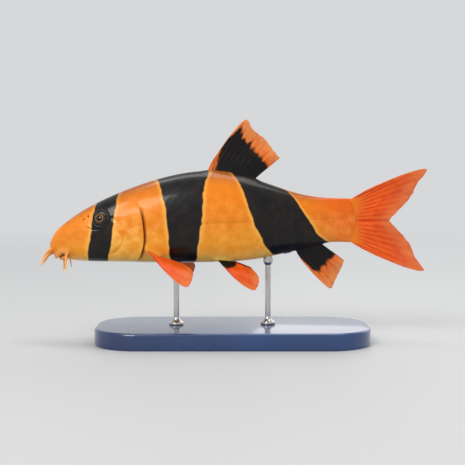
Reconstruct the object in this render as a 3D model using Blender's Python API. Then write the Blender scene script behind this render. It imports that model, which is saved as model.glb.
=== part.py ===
"""A clown loach as a still, life-size model, held on a plain display stand.

The fish swims level with its head towards -X and its back up. Its left side faces -Y.
Every shape is worked out in millimetres along the straight fish, with x from the tip of the
snout, y to the right and z from the belly line. It is then swayed a little from side to side, as
a swimming fish is, and set over the stand, whose underside holds the origin.
"""

import math

import bmesh
import bpy
import numpy as np
from mathutils import Matrix, Vector

MM = 0.001
GAP = 0.3

# Sizes of the fish. Lines along the body are (x, height or half width) points for a smooth curve.
BODY_LENGTH = 160.0
BACK_LINE = (
    (0, 13.6), (9, 21.4), (24, 30.8), (42, 38.8), (62, 45.2),
    (82, 48.2), (110, 43.6), (136, 35.4), (160, 33.4),
)
BELLY_LINE = (
    (0, 3.4), (9, 1.6), (36, 0.1), (62, -0.4), (92, 0.0),
    (112, 1.6), (136, 7.2), (150, 9.9), (160, 9.8),
)
WIDTH_LINE = (
    (0, 4.9), (10, 7.5), (28, 11.3), (54, 14.4), (72, 14.6),
    (100, 12.0), (125, 8.0), (150, 3.5), (160, 1.7),
)
AXIS_LINE = ((0, 8.4), (28, 14.0), (60, 18.0), (84, 19.5), (136, 20.6), (160, 21.5))
SNOUT_ROUND = 5.0
BACK_SHARPNESS = ((0, 0.92), (30, 0.95), (70, 1.12), (120, 1.08), (160, 0.9))
BELLY_SHARPNESS = ((0, 0.82), (30, 0.82), (80, 0.8), (130, 1.0), (160, 0.9))
SWAY_LINE = ((0, -2.4), (40, -0.5), (70, 0.0), (100, 0.7), (130, 3.6), (160, 7.0), (180, 7.9), (204, 7.0))

# The cuts between head, trunk and tail stem.
GILL_EDGE_X = 43.5
GILL_EDGE_BULGE = 7.0
GILL_EDGE_ANGLE = math.radians(100)
GILL_COVER_RISE = 0.9
GILL_COVER_START_X = 33.0
STEM_CUT_X = 123.0

# Eyes, nostrils and mouth.
EYE_X = 27.5
EYE_ANGLE = math.radians(59)
EYE_RADIUS = 4.5
EYE_DEPTH = 3.1
EYE_SINK = 1.8
EYE_RIM = 0.5
NOSTRILS = ((18.6, 47.0, 0.62), (20.9, 44.0, 0.72))
NOSTRIL_DEPTH = 1.0
MOUTH_CORNER_X = 9.6
MOUTH_LENGTH = 5.0
MOUTH_HALF_WIDTH = 5.6
MOUTH_FADE = 3.6
MOUTH_LINE_DEPTH = 0.8
MOUTH_LINE_WIDTH = 0.5
LIP_HEIGHT = 1.1
LIP_WIDTH = 1.1
LIP_FULLNESS = 0.9
CHIN_SPLIT = 0.8
CHEEK_CENTRE = (30.0, 14.5)
CHEEK_RADIUS = 10.0
CHEEK_GROOVE = 0.35

# Barbels on the left: name, root x, root angle in degrees, length, root radius and where the tip aims.
BARBELS = (
    ("barbel_snout_inner", 1.25, 158, 8.0, 0.72, (-0.55, -0.22, -0.95)),
    ("barbel_snout_outer", 1.7, 116, 10.0, 0.78, (-0.42, -0.55, -1.0)),
    ("barbel_mouth_corner", 10.0, 123, 11.5, 0.82, (0.1, -0.5, -1.0)),
    ("barbel_chin", 8.2, 166, 5.0, 0.62, (-0.1, -0.25, -1.0)),
)
BARBEL_TIP_RADIUS = 0.26
BARBEL_RINGS = 8
BARBEL_SIDES = 8

# Fins: the membrane between the rays, the rays' ridges and the fleshy root, as half thicknesses.
MEMBRANE = 0.28
MEMBRANE_TIP = 0.16
RAY_RIDGE = 0.27
FIN_ROOT = 0.55
FIN_ROOT_FADE = 2.6
RAY_HALF_WIDTH = 0.32
FRONT_RAY_CROWDING = 1.2
FIN_ROWS = (0.0, 0.07, 0.18, 0.34, 0.52, 0.7, 0.86, 1.0)

# The display stand. The rods' foot and pad heights are measured along the rod.
BELLY_HEIGHT = 43.0
FISH_SHIFT = -97.0
BASE_SIZE = (146.0, 62.0, 9.0)
BASE_CORNER = 24.0
BASE_EDGE = 1.6
ROD_PLACES = (("stand_rod_front", 67.0), ("stand_rod_rear", 116.0))
ROD_RADIUS = 1.5
ROD_PAD_RADIUS = 2.6
ROD_FOOT_RADIUS = 4.0
ROD_FOOT_HEIGHT = 4.4
ROD_PAD_HEIGHT = 4.5
ROD_SIDES = 16


def smooth_line(points):
    """A natural cubic spline through (x, value) points, as a function of x."""
    x, value = np.array(points, float).T
    step = np.diff(x)
    system = np.eye(len(x))
    turn = np.zeros(len(x))
    for i in range(1, len(x) - 1):
        system[i, i - 1 : i + 2] = step[i - 1], 2 * (step[i - 1] + step[i]), step[i]
        turn[i] = 6 * ((value[i + 1] - value[i]) / step[i] - (value[i] - value[i - 1]) / step[i - 1])
    bend = np.linalg.solve(system, turn)

    def line(at):
        at = np.clip(at, x[0], x[-1])
        i = np.clip(np.searchsorted(x, at, side="right") - 1, 0, len(x) - 2)
        left, right = (x[i + 1] - at) / step[i], (at - x[i]) / step[i]
        curved = (left**3 - left) * bend[i] + (right**3 - right) * bend[i + 1]
        return left * value[i] + right * value[i + 1] + curved * step[i] ** 2 / 6

    return line


back = smooth_line(BACK_LINE)
belly = smooth_line(BELLY_LINE)
half_width = smooth_line(WIDTH_LINE)
axis_height = smooth_line(AXIS_LINE)
back_sharpness = smooth_line(BACK_SHARPNESS)
belly_sharpness = smooth_line(BELLY_SHARPNESS)
sway = smooth_line(SWAY_LINE)


def ease(value, start, end):
    """0 before start, 1 after end, and smooth between. start may be the greater."""
    t = np.clip((value - start) / (end - start), 0, 1)
    return t * t * (3 - 2 * t)


def hump(distance, width):
    return np.exp(-((distance / width) ** 2))


def unit(vectors):
    return vectors / np.linalg.norm(vectors, axis=-1, keepdims=True)


def bare_body(x, angle):
    """The body without its small forms. Angle 0 is the back, a quarter turn the left flank."""
    x, angle = np.broadcast_arrays(np.asarray(x, float), np.asarray(angle, float))
    rounded = np.sqrt(1 - np.clip(1 - x / SNOUT_ROUND, 0, 1) ** 2)
    middle = axis_height(x)
    across, along = np.sin(angle), np.cos(angle)
    sharpness = np.where(along > 0, back_sharpness(x), belly_sharpness(x))
    reach = np.where(along > 0, back(x) - middle, middle - belly(x))
    y = -half_width(x) * rounded * np.sign(across) * np.abs(across) ** sharpness
    return np.stack([x, y, middle + reach * rounded * along], axis=-1)


def body_normal(x, angle):
    """The outward direction of the bare body's surface."""
    x = np.maximum(x, 0.08)
    dx, da = 0.05, 0.01
    along = bare_body(x + dx, angle) - bare_body(x - dx, angle)
    round_it = bare_body(x, angle + da) - bare_body(x, angle - da)
    return unit(np.cross(round_it, along))


def gill_edge(angle):
    """Where the gill cover ends along the body, at an angle round it."""
    facing = np.maximum(np.cos(np.abs(side_angle(angle)) - GILL_EDGE_ANGLE), 0)
    return GILL_EDGE_X + GILL_EDGE_BULGE * facing**1.5


def side_angle(angle):
    """The angle from the back down either flank, from 0 to half a turn."""
    return np.arccos(np.clip(np.cos(angle), -1, 1))


def eye_point():
    return bare_body(EYE_X, EYE_ANGLE)


def mouth_distance(x, y):
    """Roughly how far a point seen from below lies outside the mouth's horseshoe line."""
    return (np.hypot((x - MOUTH_CORNER_X) / MOUTH_LENGTH, y / MOUTH_HALF_WIDTH) - 1) * MOUTH_LENGTH


def relief(x, angle, point):
    """How far the lips, cheeks, eye rims and gill covers stand out from the bare body."""
    side = np.abs(point[..., 1])
    height = point[..., 2]
    gap = mouth_distance(x, side)
    below = ease(height, 9.2, 5.8) * ease(x, MOUTH_CORNER_X + MOUTH_FADE, MOUTH_CORNER_X - 0.5 * MOUTH_FADE)
    upper_lip = hump(gap - LIP_WIDTH, LIP_FULLNESS)
    lower_lip = hump(gap + LIP_WIDTH, LIP_FULLNESS) * (1 - 0.6 * hump(side, CHIN_SPLIT))
    lips = LIP_HEIGHT * (upper_lip + 0.85 * lower_lip) - MOUTH_LINE_DEPTH * hump(gap, MOUTH_LINE_WIDTH)
    eye = eye_point()
    from_eye = np.sqrt((x - eye[0]) ** 2 + (side + eye[1]) ** 2 + (height - eye[2]) ** 2)
    eye_rim = EYE_RIM * hump(from_eye - EYE_RADIUS, 0.9)
    from_cheek = np.hypot(x - CHEEK_CENTRE[0], height - CHEEK_CENTRE[1]) - CHEEK_RADIUS
    cheek = -CHEEK_GROOVE * hump(from_cheek, 0.8) * ease(x, 31, 35) * ease(height, 2, 6)
    down = side_angle(angle)
    flank = ease(down, 0.8, 1.25) * ease(down, 2.95, 2.5)
    edge = gill_edge(angle)
    cover = GILL_COVER_RISE * flank * ease(x, GILL_COVER_START_X, edge) * (x <= edge + 1e-6)
    return lips * below + eye_rim + cheek + cover


def body_surface(x, angle):
    """The fish's skin, with its small forms."""
    x, angle = np.broadcast_arrays(np.asarray(x, float), np.asarray(angle, float))
    point = bare_body(x, angle)
    return point + body_normal(x, angle) * relief(x, angle, point)[..., None]


def swayed(points):
    """Points of the straight fish, moved as its body bends from side to side."""
    x, y, z = np.moveaxis(np.asarray(points, float), -1, 0)
    heading = np.arctan((sway(x + 0.5) - sway(x - 0.5)))
    return np.stack([x - y * np.sin(heading), sway(x) + y * np.cos(heading), z], axis=-1)


def placed(points):
    """Points of the straight fish, in metres where they lie over the stand."""
    return (swayed(points) + (FISH_SHIFT, 0, BELLY_HEIGHT)) * MM


def material(name, colour, roughness, metallic=0.0):
    made = bpy.data.materials.new(name)
    made.use_nodes = True
    shader = made.node_tree.nodes["Principled BSDF"]
    shader.inputs["Base Color"].default_value = (*colour, 1)
    shader.inputs["Roughness"].default_value = roughness
    shader.inputs["Metallic"].default_value = metallic
    return made


def add_object(name, mesh, finish, smooth_angle=40):
    node = bpy.data.objects.new(name, mesh)
    bpy.context.scene.collection.objects.link(node)
    mesh.materials.append(finish)
    mesh.shade_smooth()
    mesh.set_sharp_from_angle(angle=math.radians(smooth_angle))
    return node


def mesh_from(name, points, faces):
    """A closed mesh of faces that all turn one way, set to point out."""
    shape = bmesh.new()
    corners = [shape.verts.new(p) for p in points]
    for face in faces:
        shape.faces.new([corners[i] for i in face])
    if shape.calc_volume(signed=True) < 0:
        bmesh.ops.reverse_faces(shape, faces=shape.faces)
    mesh = bpy.data.meshes.new(name)
    shape.to_mesh(mesh)
    shape.free()
    return mesh


def loft(name, rings, front, rear, finish):
    """A body through rings of points, closed by a fan to one point at each end."""
    count, sides = rings.shape[:2]
    points = np.concatenate([rings.reshape(-1, 3), [front], [rear]])
    first, last = count * sides, count * sides + 1
    faces = []
    for j in range(sides):
        k = (j + 1) % sides
        faces.append((first, k, j))
        faces.append((last, (count - 1) * sides + j, (count - 1) * sides + k))
        for i in range(count - 1):
            faces.append((i * sides + j, i * sides + k, (i + 1) * sides + k, (i + 1) * sides + j))
    return add_object(name, mesh_from(name, placed(points), faces), finish)


def angles_round(sides, crowd_below=0.0):
    """Angles round a ring, closer together below by a share."""
    turn = np.linspace(0, 2 * math.pi, sides, endpoint=False)
    return turn + crowd_below * np.sin(turn)


def axis_point(x):
    return (x, 0.0, float(axis_height(x)))


def head(finish):
    """From the snout to the edge of the gill covers, closed by a hollow cone at the rear."""
    angles = angles_round(44, crowd_below=0.38)
    snout = 2.3 * (1 - np.cos(np.linspace(0.28, math.pi / 2, 5)))
    mouth = np.arange(2.85, 12.4, 0.55)
    face = np.linspace(0, 1, 26)[1:]
    rings = [body_surface(x, angles) for x in (*snout, *mouth)]
    start = mouth[-1]
    for share in face:
        rings.append(body_surface(start + share * (gill_edge(angles) - start), angles))
    node = loft("head", np.array(rings), axis_point(0.0), axis_point(GILL_EDGE_X + 2), finish)
    for side, mirror in (("left", 1), ("right", -1)):
        cut_away(node, eye_ball(f"orbit_{side}", mirror, margin=GAP))
        for number, (x, degrees, radius) in enumerate(NOSTRILS):
            cut_away(node, nostril_cutter(f"nostril_{number}_{side}", x, degrees, radius, mirror))
    return node


def trunk(finish):
    angles = angles_round(34)
    rings = []
    for share in np.linspace(0, 1, 19):
        start = gill_edge(angles) + GAP
        rings.append(body_surface(start + share * (STEM_CUT_X - start), angles))
    ends = axis_point(GILL_EDGE_X + 2 + GAP), axis_point(STEM_CUT_X)
    return loft("trunk", np.array(rings), *ends, finish)


def tail_stem(finish):
    angles = angles_round(28)
    places = np.linspace(STEM_CUT_X + GAP, BODY_LENGTH, 10)
    rings = np.array([body_surface(x, angles) for x in places])
    return loft("tail_stem", rings, axis_point(places[0]), axis_point(BODY_LENGTH), finish)


def mirrored(points, mirror):
    return np.asarray(points, float) * (1, mirror, 1)


def set_in_skin(name, shape, x, angle, centre, mirror):
    """Turns a bmesh shape's Z to face out of the skin, moves it to its centre and makes it an object."""
    outward = Vector(mirrored(body_normal(x, angle), mirror))
    turned = outward.to_track_quat("Z", "Y").to_matrix().to_4x4()
    moved = Matrix.Translation(Vector(placed(mirrored(centre, mirror))))
    bmesh.ops.transform(shape, matrix=moved @ turned, verts=shape.verts)
    mesh = bpy.data.meshes.new(name)
    shape.to_mesh(mesh)
    shape.free()
    node = bpy.data.objects.new(name, mesh)
    bpy.context.scene.collection.objects.link(node)
    return node


def eye_ball(name, mirror, margin=0.0):
    """A flattened ball: the eye itself or, with a margin, the cutter for its socket."""
    shape = bmesh.new()
    bmesh.ops.create_uvsphere(shape, u_segments=18, v_segments=10, radius=MM)
    across, deep = EYE_RADIUS + margin, EYE_DEPTH + margin
    bmesh.ops.scale(shape, vec=(across, across, deep), verts=shape.verts)
    centre = eye_point() - body_normal(EYE_X, EYE_ANGLE) * EYE_SINK
    return set_in_skin(name, shape, EYE_X, EYE_ANGLE, centre, mirror)


def eye(side, mirror, finish):
    node = eye_ball(f"eye_{side}", mirror)
    node.data.materials.append(finish)
    node.data.shade_smooth()
    return node


def nostril_cutter(name, x, degrees, radius, mirror):
    """A short cone whose wide end stands clear of the skin."""
    shape = bmesh.new()
    inner, outer, depth = 0.55 * radius * MM, 1.3 * radius * MM, 2 * NOSTRIL_DEPTH * MM
    bmesh.ops.create_cone(shape, cap_ends=True, segments=8, radius1=inner, radius2=outer, depth=depth)
    angle = math.radians(degrees)
    return set_in_skin(name, shape, x, angle, bare_body(x, angle), mirror)


def cut_away(node, cutter):
    cutter.hide_render = True
    cutter.display_type = "WIRE"
    cut = node.modifiers.new(cutter.name, "BOOLEAN")
    cut.operation = "DIFFERENCE"
    cut.object = cutter


def barbel(name, x, degrees, length, radius, aim, mirror, finish):
    """A feeler that leaves the skin square on and then curves down to where its tip aims."""
    angle = math.radians(degrees)
    outward = body_normal(x, angle)
    root = body_surface(x, angle) + outward * GAP
    aim = unit(np.array(aim))
    share = np.linspace(0, 1, BARBEL_RINGS)[:, None]
    knee = root + outward * length * 0.28
    tip = knee + aim * length * 0.78
    path = (1 - share) ** 2 * root + 2 * share * (1 - share) * knee + share**2 * tip
    heading = unit(2 * (1 - share) * (knee - root) + 2 * share * (tip - knee))
    across = unit(np.cross(heading, (0.3, 1.0, 0.2)))
    over = np.cross(heading, across)
    thickness = radius + (BARBEL_TIP_RADIUS - radius) * share**0.8
    turn = np.linspace(0, 2 * math.pi, BARBEL_SIDES, endpoint=False)
    rings = np.array(
        [path + thickness * (across * math.cos(a) + over * math.sin(a)) for a in turn]
    ).transpose(1, 0, 2)
    end = path[-1] + heading[-1] * BARBEL_TIP_RADIUS * 0.8
    return loft(name, mirrored(rings, mirror), mirrored(root, mirror), mirrored(end, mirror), finish)


def spread(start, end):
    """A value that runs evenly from start to end across a fin."""
    return lambda v: start + (end - start) * v


def fin_root_on_skin(first, last):
    """Root points on the skin between two (x, angle in degrees) places, and the skin's own turn there."""
    x = spread(first[0], last[0])
    angle = spread(math.radians(first[1]), math.radians(last[1]))

    def root(v, offset):
        """The point at v across the fin, offset round the body by some millimetres."""
        step = 0.08
        chord = bare_body(x(v), angle(v) + step) - bare_body(x(v), angle(v) - step)
        at = angle(v) + offset * 2 * step / np.linalg.norm(chord, axis=-1)
        return body_surface(x(v), at) + body_normal(x(v), at) * GAP

    return root


def fin_root_on_stem(first, last):
    """Root points on the flat rear end of the tail stem, between two heights."""
    height = spread(first, last)

    def root(v, offset):
        v = np.asarray(v, float)
        return np.stack([v * 0 + BODY_LENGTH + GAP, v * 0 + offset, height(v)], axis=-1)

    return root


def aimed(first, last):
    """Ray directions that turn evenly from the first ray's to the last one's."""
    first, last = np.array(first, float), np.array(last, float)
    return lambda v: unit(first + (last - first) * np.asarray(v)[..., None])


def upright(first, last):
    """Ray directions in the fish's middle plane, from angles above the horizontal in degrees."""
    angle = spread(math.radians(first), math.radians(last))
    return lambda v: np.stack([np.cos(angle(v)), np.zeros_like(v), np.sin(angle(v))], axis=-1)


def fin_middle(fin, u, v):
    """The middle of a fin's sheet, u along the rays and v across them."""
    u, v = np.broadcast_arrays(np.asarray(u, float), np.asarray(v, float))
    reach = fin["reach"](v)[..., None]
    run = u[..., None]
    curl = np.array(fin["curl"]) * run**2 * (1 - v[..., None])
    wave = np.array(fin["wave"]) * run * np.sin(2 * math.pi * (1.3 * v[..., None] - 0.5 * run))
    return fin["root"](v, v * 0) + reach * (run * fin["aim"](v) + curl) + wave


def ray_columns(fin):
    """Places across the fin: the two feet and the crest of each ray, with the crests marked."""
    wide = RAY_HALF_WIDTH / fin["span"]
    crests = wide + (1 - 2 * wide) * np.linspace(0, 1, fin["rays"]) ** FRONT_RAY_CROWDING
    columns = np.stack([crests - wide, crests, crests + wide], axis=1).ravel()
    return columns, np.tile([0.0, 1.0, 0.0], fin["rays"])


def fin_mesh(name, fin, mirror, finish):
    """A thin closed sheet with its rays raised in both faces, split alike on both."""
    v, crest = ray_columns(fin)
    u = np.array(FIN_ROWS)[:, None]
    d = 0.004
    middle = fin_middle(fin, u, v)
    along = fin_middle(fin, u + d, v) - fin_middle(fin, u - d, v)
    over = fin_middle(fin, u, v + d) - fin_middle(fin, u, v - d)
    facing = unit(np.cross(along, over))
    run = u * fin["reach"](v)
    half = MEMBRANE_TIP + (MEMBRANE - MEMBRANE_TIP) * (1 - u**4) + RAY_RIDGE * crest * (1 - 0.6 * u)
    half = half + FIN_ROOT * np.exp(-run / FIN_ROOT_FADE)
    root_across = fin["root"](v, v * 0 + 1) - fin["root"](v, v * 0 - 1)
    root_turn = np.sign(np.sum(root_across * facing[0], axis=-1))
    sheets = []
    for side in (1, -1):
        sheet = middle + side * facing * half[..., None]
        sheet[0] = fin["root"](v, side * root_turn * half[0])
        sheets.append(sheet)
    rows, columns = half.shape
    count = rows * columns
    points = mirrored(np.concatenate([s.reshape(-1, 3) for s in sheets]), mirror)
    faces = []
    for i in range(rows - 1):
        for j in range(columns - 1):
            a, b = i * columns + j, i * columns + j + 1
            c, e = a + columns, b + columns
            faces += [(a, b, e), (a, e, c)]
            faces += [(a + count, e + count, b + count), (a + count, c + count, e + count)]
    rim = [(0, j) for j in range(columns)] + [(i, columns - 1) for i in range(1, rows)]
    rim += [(rows - 1, j) for j in range(columns - 2, -1, -1)] + [(i, 0) for i in range(rows - 2, 0, -1)]
    edge = [i * columns + j for i, j in rim]
    for a, b in zip(edge, edge[1:] + edge[:1]):
        faces += [(a, a + count, b), (b, a + count, b + count)]
    return add_object(name, mesh_from(name, placed(points), faces), finish)


DORSAL_FIN = {
    "root": fin_root_on_skin((84, 0), (109, 0)),
    "aim": upright(71, 40),
    "reach": smooth_line(
        ((0, 6), (0.07, 21), (0.14, 30.5), (0.25, 29.5), (0.5, 25.0), (0.8, 20.0), (1, 17.0))
    ),
    "curl": (0.12, 0, -0.06),
    "wave": (0, 0.7, 0),
    "rays": 11,
    "span": 25.0,
}
ANAL_FIN = {
    "root": fin_root_on_skin((131, 180), (145, 180)),
    "aim": upright(-66, -36),
    "reach": smooth_line(((0, 6), (0.1, 17), (0.2, 25.5), (0.32, 25.5), (0.6, 21.0), (1, 15.0))),
    "curl": (0.1, 0, 0.05),
    "wave": (0, 0.6, 0),
    "rays": 8,
    "span": 14.0,
}
TAIL_FIN_UPPER = {
    "root": fin_root_on_stem(32.7, 21.65),
    "aim": upright(33, 0),
    "reach": smooth_line(
        ((0, 10), (0.08, 28), (0.16, 43.5), (0.3, 41.5), (0.5, 35.5), (0.75, 27.5), (1, 21.0))
    ),
    "curl": (0.0, 0, -0.05),
    "wave": (0, 0.8, 0),
    "rays": 10,
    "span": 11.0,
}
TAIL_FIN_LOWER = {
    "root": fin_root_on_stem(10.3, 21.35),
    "aim": upright(-33, 0),
    "reach": smooth_line(
        ((0, 10), (0.08, 28), (0.16, 42.5), (0.3, 40.5), (0.5, 35.0), (0.75, 27.5), (1, 21.0))
    ),
    "curl": (0.0, 0, 0.05),
    "wave": (0, 0.8, 0),
    "rays": 9,
    "span": 11.0,
}
PECTORAL_FIN = {
    "root": fin_root_on_skin((51.8, 122), (57.5, 141)),
    "aim": aimed((0.52, -0.64, -0.56), (0.95, -0.22, -0.20)),
    "reach": smooth_line(((0, 22), (0.1, 30.0), (0.25, 31.0), (0.6, 25.0), (1, 14.0))),
    "curl": (0.05, 0.10, -0.02),
    "wave": (0, 0, 0.5),
    "rays": 12,
    "span": 8.0,
}
PELVIC_FIN = {
    "root": fin_root_on_skin((89, 155), (95, 164)),
    "aim": aimed((0.58, -0.48, -0.66), (0.93, -0.16, -0.30)),
    "reach": smooth_line(((0, 17), (0.12, 23.0), (0.28, 24.0), (0.6, 20.5), (1, 13.0))),
    "curl": (0.05, 0.08, 0.0),
    "wave": (0, 0, 0.4),
    "rays": 8,
    "span": 6.5,
}


def belly_under(x, y):
    """The height of the fish's underside at a place near its middle."""
    narrow = (np.abs(y) / half_width(x)) ** (1 / belly_sharpness(x))
    return axis_height(x) - (axis_height(x) - belly(x)) * np.sqrt(1 - narrow**2)


def stand_rod(name, x, finish):
    """A turned rod with a foot on the base and a pad whose top follows the belly."""
    base_top = BASE_SIZE[2] - BELLY_HEIGHT + GAP
    pad_top = float(belly(x))
    profile = (
        (ROD_FOOT_RADIUS, base_top),
        (ROD_FOOT_RADIUS, base_top + 0.36 * ROD_FOOT_HEIGHT),
        (0.8 * ROD_FOOT_RADIUS, base_top + 0.55 * ROD_FOOT_HEIGHT),
        (1.25 * ROD_RADIUS, base_top + 0.77 * ROD_FOOT_HEIGHT),
        (ROD_RADIUS, base_top + ROD_FOOT_HEIGHT),
        (ROD_RADIUS, pad_top - ROD_PAD_HEIGHT),
        (ROD_PAD_RADIUS, pad_top - 0.5 * ROD_PAD_HEIGHT),
    )
    turn = np.linspace(0, 2 * math.pi, ROD_SIDES, endpoint=False)
    rings = [
        np.stack([x + r * np.cos(turn), r * np.sin(turn), np.full(ROD_SIDES, z)], axis=-1) for r, z in profile
    ]
    top = rings[-1].copy()
    top[:, 2] = belly_under(top[:, 0], top[:, 1]) - GAP
    rings.append(top)
    end = (x, 0, float(belly_under(x, 0.0)) - GAP)
    return loft(name, np.array(rings), (x, 0, base_top), end, finish)


def stand_base(finish):
    """A flat plate with round corners and a softened top edge."""
    shape = bmesh.new()
    bmesh.ops.create_cube(shape, size=1)
    bmesh.ops.scale(shape, vec=[side * MM for side in BASE_SIZE], verts=shape.verts)
    bmesh.ops.translate(shape, vec=(0, 0, BASE_SIZE[2] * MM / 2), verts=shape.verts)
    corners = [e for e in shape.edges if abs(e.verts[0].co.z - e.verts[1].co.z) > MM]
    bmesh.ops.bevel(shape, geom=corners, offset=BASE_CORNER * MM, segments=9, profile=0.5, affect="EDGES")
    top = [e for e in shape.edges if min(v.co.z for v in e.verts) > (BASE_SIZE[2] - 0.01) * MM]
    bmesh.ops.bevel(shape, geom=top, offset=BASE_EDGE * MM, segments=3, profile=0.5, affect="EDGES")
    mesh = bpy.data.meshes.new("stand_base")
    shape.to_mesh(mesh)
    shape.free()
    return add_object("stand_base", mesh, finish)


def main():
    for thing in list(bpy.data.objects):
        bpy.data.objects.remove(thing)
    skin = material("skin", (0.86, 0.42, 0.08), 0.35)
    red_fin = material("red_fin", (0.85, 0.17, 0.03), 0.4)
    dark_fin = material("dark_fin", (0.05, 0.03, 0.02), 0.4)
    eye_finish = material("eye", (0.02, 0.015, 0.01), 0.08)
    feeler = material("feeler", (0.88, 0.5, 0.2), 0.4)
    lacquer = material("stand_lacquer", (0.01, 0.06, 0.22), 0.3)
    steel = material("stand_steel", (0.62, 0.62, 0.6), 0.25, metallic=1.0)

    head(skin)
    trunk(skin)
    tail_stem(skin)
    fin_mesh("dorsal_fin", DORSAL_FIN, 1, dark_fin)
    fin_mesh("anal_fin", ANAL_FIN, 1, dark_fin)
    fin_mesh("tail_fin_upper_lobe", TAIL_FIN_UPPER, 1, red_fin)
    fin_mesh("tail_fin_lower_lobe", TAIL_FIN_LOWER, 1, red_fin)
    for side, mirror in (("left", 1), ("right", -1)):
        eye(side, mirror, eye_finish)
        fin_mesh(f"pectoral_fin_{side}", PECTORAL_FIN, mirror, red_fin)
        fin_mesh(f"pelvic_fin_{side}", PELVIC_FIN, mirror, red_fin)
        for name, *sizes in BARBELS:
            barbel(f"{name}_{side}", *sizes, mirror, feeler)
    stand_base(lacquer)
    for name, x in ROD_PLACES:
        stand_rod(name, x, steel)


main()
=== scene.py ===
import math

import bmesh
import bpy
import numpy as np
from mathutils import Matrix, Vector


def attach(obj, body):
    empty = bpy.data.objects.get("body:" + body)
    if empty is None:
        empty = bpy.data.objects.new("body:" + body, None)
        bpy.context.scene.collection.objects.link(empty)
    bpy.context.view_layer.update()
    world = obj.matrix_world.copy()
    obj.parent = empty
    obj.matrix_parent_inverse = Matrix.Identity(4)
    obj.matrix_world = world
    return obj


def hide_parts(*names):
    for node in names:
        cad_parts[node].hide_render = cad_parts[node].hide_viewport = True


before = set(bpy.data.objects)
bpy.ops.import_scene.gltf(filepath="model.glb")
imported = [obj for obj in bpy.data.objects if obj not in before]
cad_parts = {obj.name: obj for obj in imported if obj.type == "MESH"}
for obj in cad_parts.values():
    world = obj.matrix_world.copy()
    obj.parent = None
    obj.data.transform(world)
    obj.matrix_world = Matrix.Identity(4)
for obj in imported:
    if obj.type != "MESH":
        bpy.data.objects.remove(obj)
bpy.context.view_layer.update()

mm = 0.001
gap = 0.3

# The fish's form, in millimetres along the straight fish: x from the tip of the snout,
# y to its right and z from the belly line. The solids are worked out from the same sizes.
fishForm = {
    "bodyLength": 160.0,
    "backLine": (
        (0, 13.6), (9, 21.4), (24, 30.8), (42, 38.8), (62, 45.2),
        (82, 48.2), (110, 43.6), (136, 35.4), (160, 33.4),
    ),
    "bellyLine": (
        (0, 3.4), (9, 1.6), (36, 0.1), (62, -0.4), (92, 0.0),
        (112, 1.6), (136, 7.2), (150, 9.9), (160, 9.8),
    ),
    "widthLine": (
        (0, 4.9), (10, 7.5), (28, 11.3), (54, 14.4), (72, 14.6),
        (100, 12.0), (125, 8.0), (150, 3.5), (160, 1.7),
    ),
    "axisLine": ((0, 8.4), (28, 14.0), (60, 18.0), (84, 19.5), (136, 20.6), (160, 21.5)),
    "backSharpness": ((0, 0.92), (30, 0.95), (70, 1.12), (120, 1.08), (160, 0.9)),
    "bellySharpness": ((0, 0.82), (30, 0.82), (80, 0.8), (130, 1.0), (160, 0.9)),
    "swayLine": ((0, -2.4), (40, -0.5), (70, 0), (100, 0.7), (130, 3.6), (160, 7), (180, 7.9), (204, 7)),
    "snoutRound": 5.0,
    "bellyHeight": 43.0,
    "fishShift": -97.0,
}


def smoothLine(points):
    # natural cubic spline through (x, value) points, as a function of x
    x, value = np.array(points, float).T
    step = np.diff(x)
    system = np.eye(len(x))
    turn = np.zeros(len(x))
    for i in range(1, len(x) - 1):
        system[i, i - 1 : i + 2] = step[i - 1], 2 * (step[i - 1] + step[i]), step[i]
        turn[i] = 6 * ((value[i + 1] - value[i]) / step[i] - (value[i] - value[i - 1]) / step[i - 1])
    bend = np.linalg.solve(system, turn)

    def line(at):
        at = np.clip(at, x[0], x[-1])
        i = np.clip(np.searchsorted(x, at, side="right") - 1, 0, len(x) - 2)
        left, right = (x[i + 1] - at) / step[i], (at - x[i]) / step[i]
        curved = (left**3 - left) * bend[i] + (right**3 - right) * bend[i + 1]
        return left * value[i] + right * value[i + 1] + curved * step[i] ** 2 / 6

    return line


back = smoothLine(fishForm["backLine"])
belly = smoothLine(fishForm["bellyLine"])
halfWidth = smoothLine(fishForm["widthLine"])
axisHeight = smoothLine(fishForm["axisLine"])
backSharpness = smoothLine(fishForm["backSharpness"])
bellySharpness = smoothLine(fishForm["bellySharpness"])
sway = smoothLine(fishForm["swayLine"])


def ease(value, start, end):
    t = np.clip((value - start) / (end - start), 0, 1)
    return t * t * (3 - 2 * t)


def hump(distance, width):
    return np.exp(-((distance / width) ** 2))


def unit(vectors):
    return vectors / np.linalg.norm(vectors, axis=-1, keepdims=True)


def bareBody(x, angle):
    # angle 0 is the back, a quarter turn the left flank
    x, angle = np.broadcast_arrays(np.asarray(x, float), np.asarray(angle, float))
    rounded = np.sqrt(1 - np.clip(1 - x / fishForm["snoutRound"], 0, 1) ** 2)
    middle = axisHeight(x)
    across, along = np.sin(angle), np.cos(angle)
    sharpness = np.where(along > 0, backSharpness(x), bellySharpness(x))
    reach = np.where(along > 0, back(x) - middle, middle - belly(x))
    y = -halfWidth(x) * rounded * np.sign(across) * np.abs(across) ** sharpness
    return np.stack([x, y, middle + reach * rounded * along], axis=-1)


def bodyNormal(x, angle):
    x = np.maximum(x, 0.08)
    dx, da = 0.05, 0.01
    along = bareBody(x + dx, angle) - bareBody(x - dx, angle)
    roundIt = bareBody(x, angle + da) - bareBody(x, angle - da)
    return unit(np.cross(roundIt, along))


def downAngle(angle):
    return np.arccos(np.clip(np.cos(angle), -1, 1))


def swayed(points):
    x, y, z = np.moveaxis(np.asarray(points, float), -1, 0)
    heading = np.arctan(sway(x + 0.5) - sway(x - 0.5))
    return np.stack([x - y * np.sin(heading), sway(x) + y * np.cos(heading), z], axis=-1)


def placed(points):
    return (swayed(points) + (fishForm["fishShift"], 0, fishForm["bellyHeight"])) * mm


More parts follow.
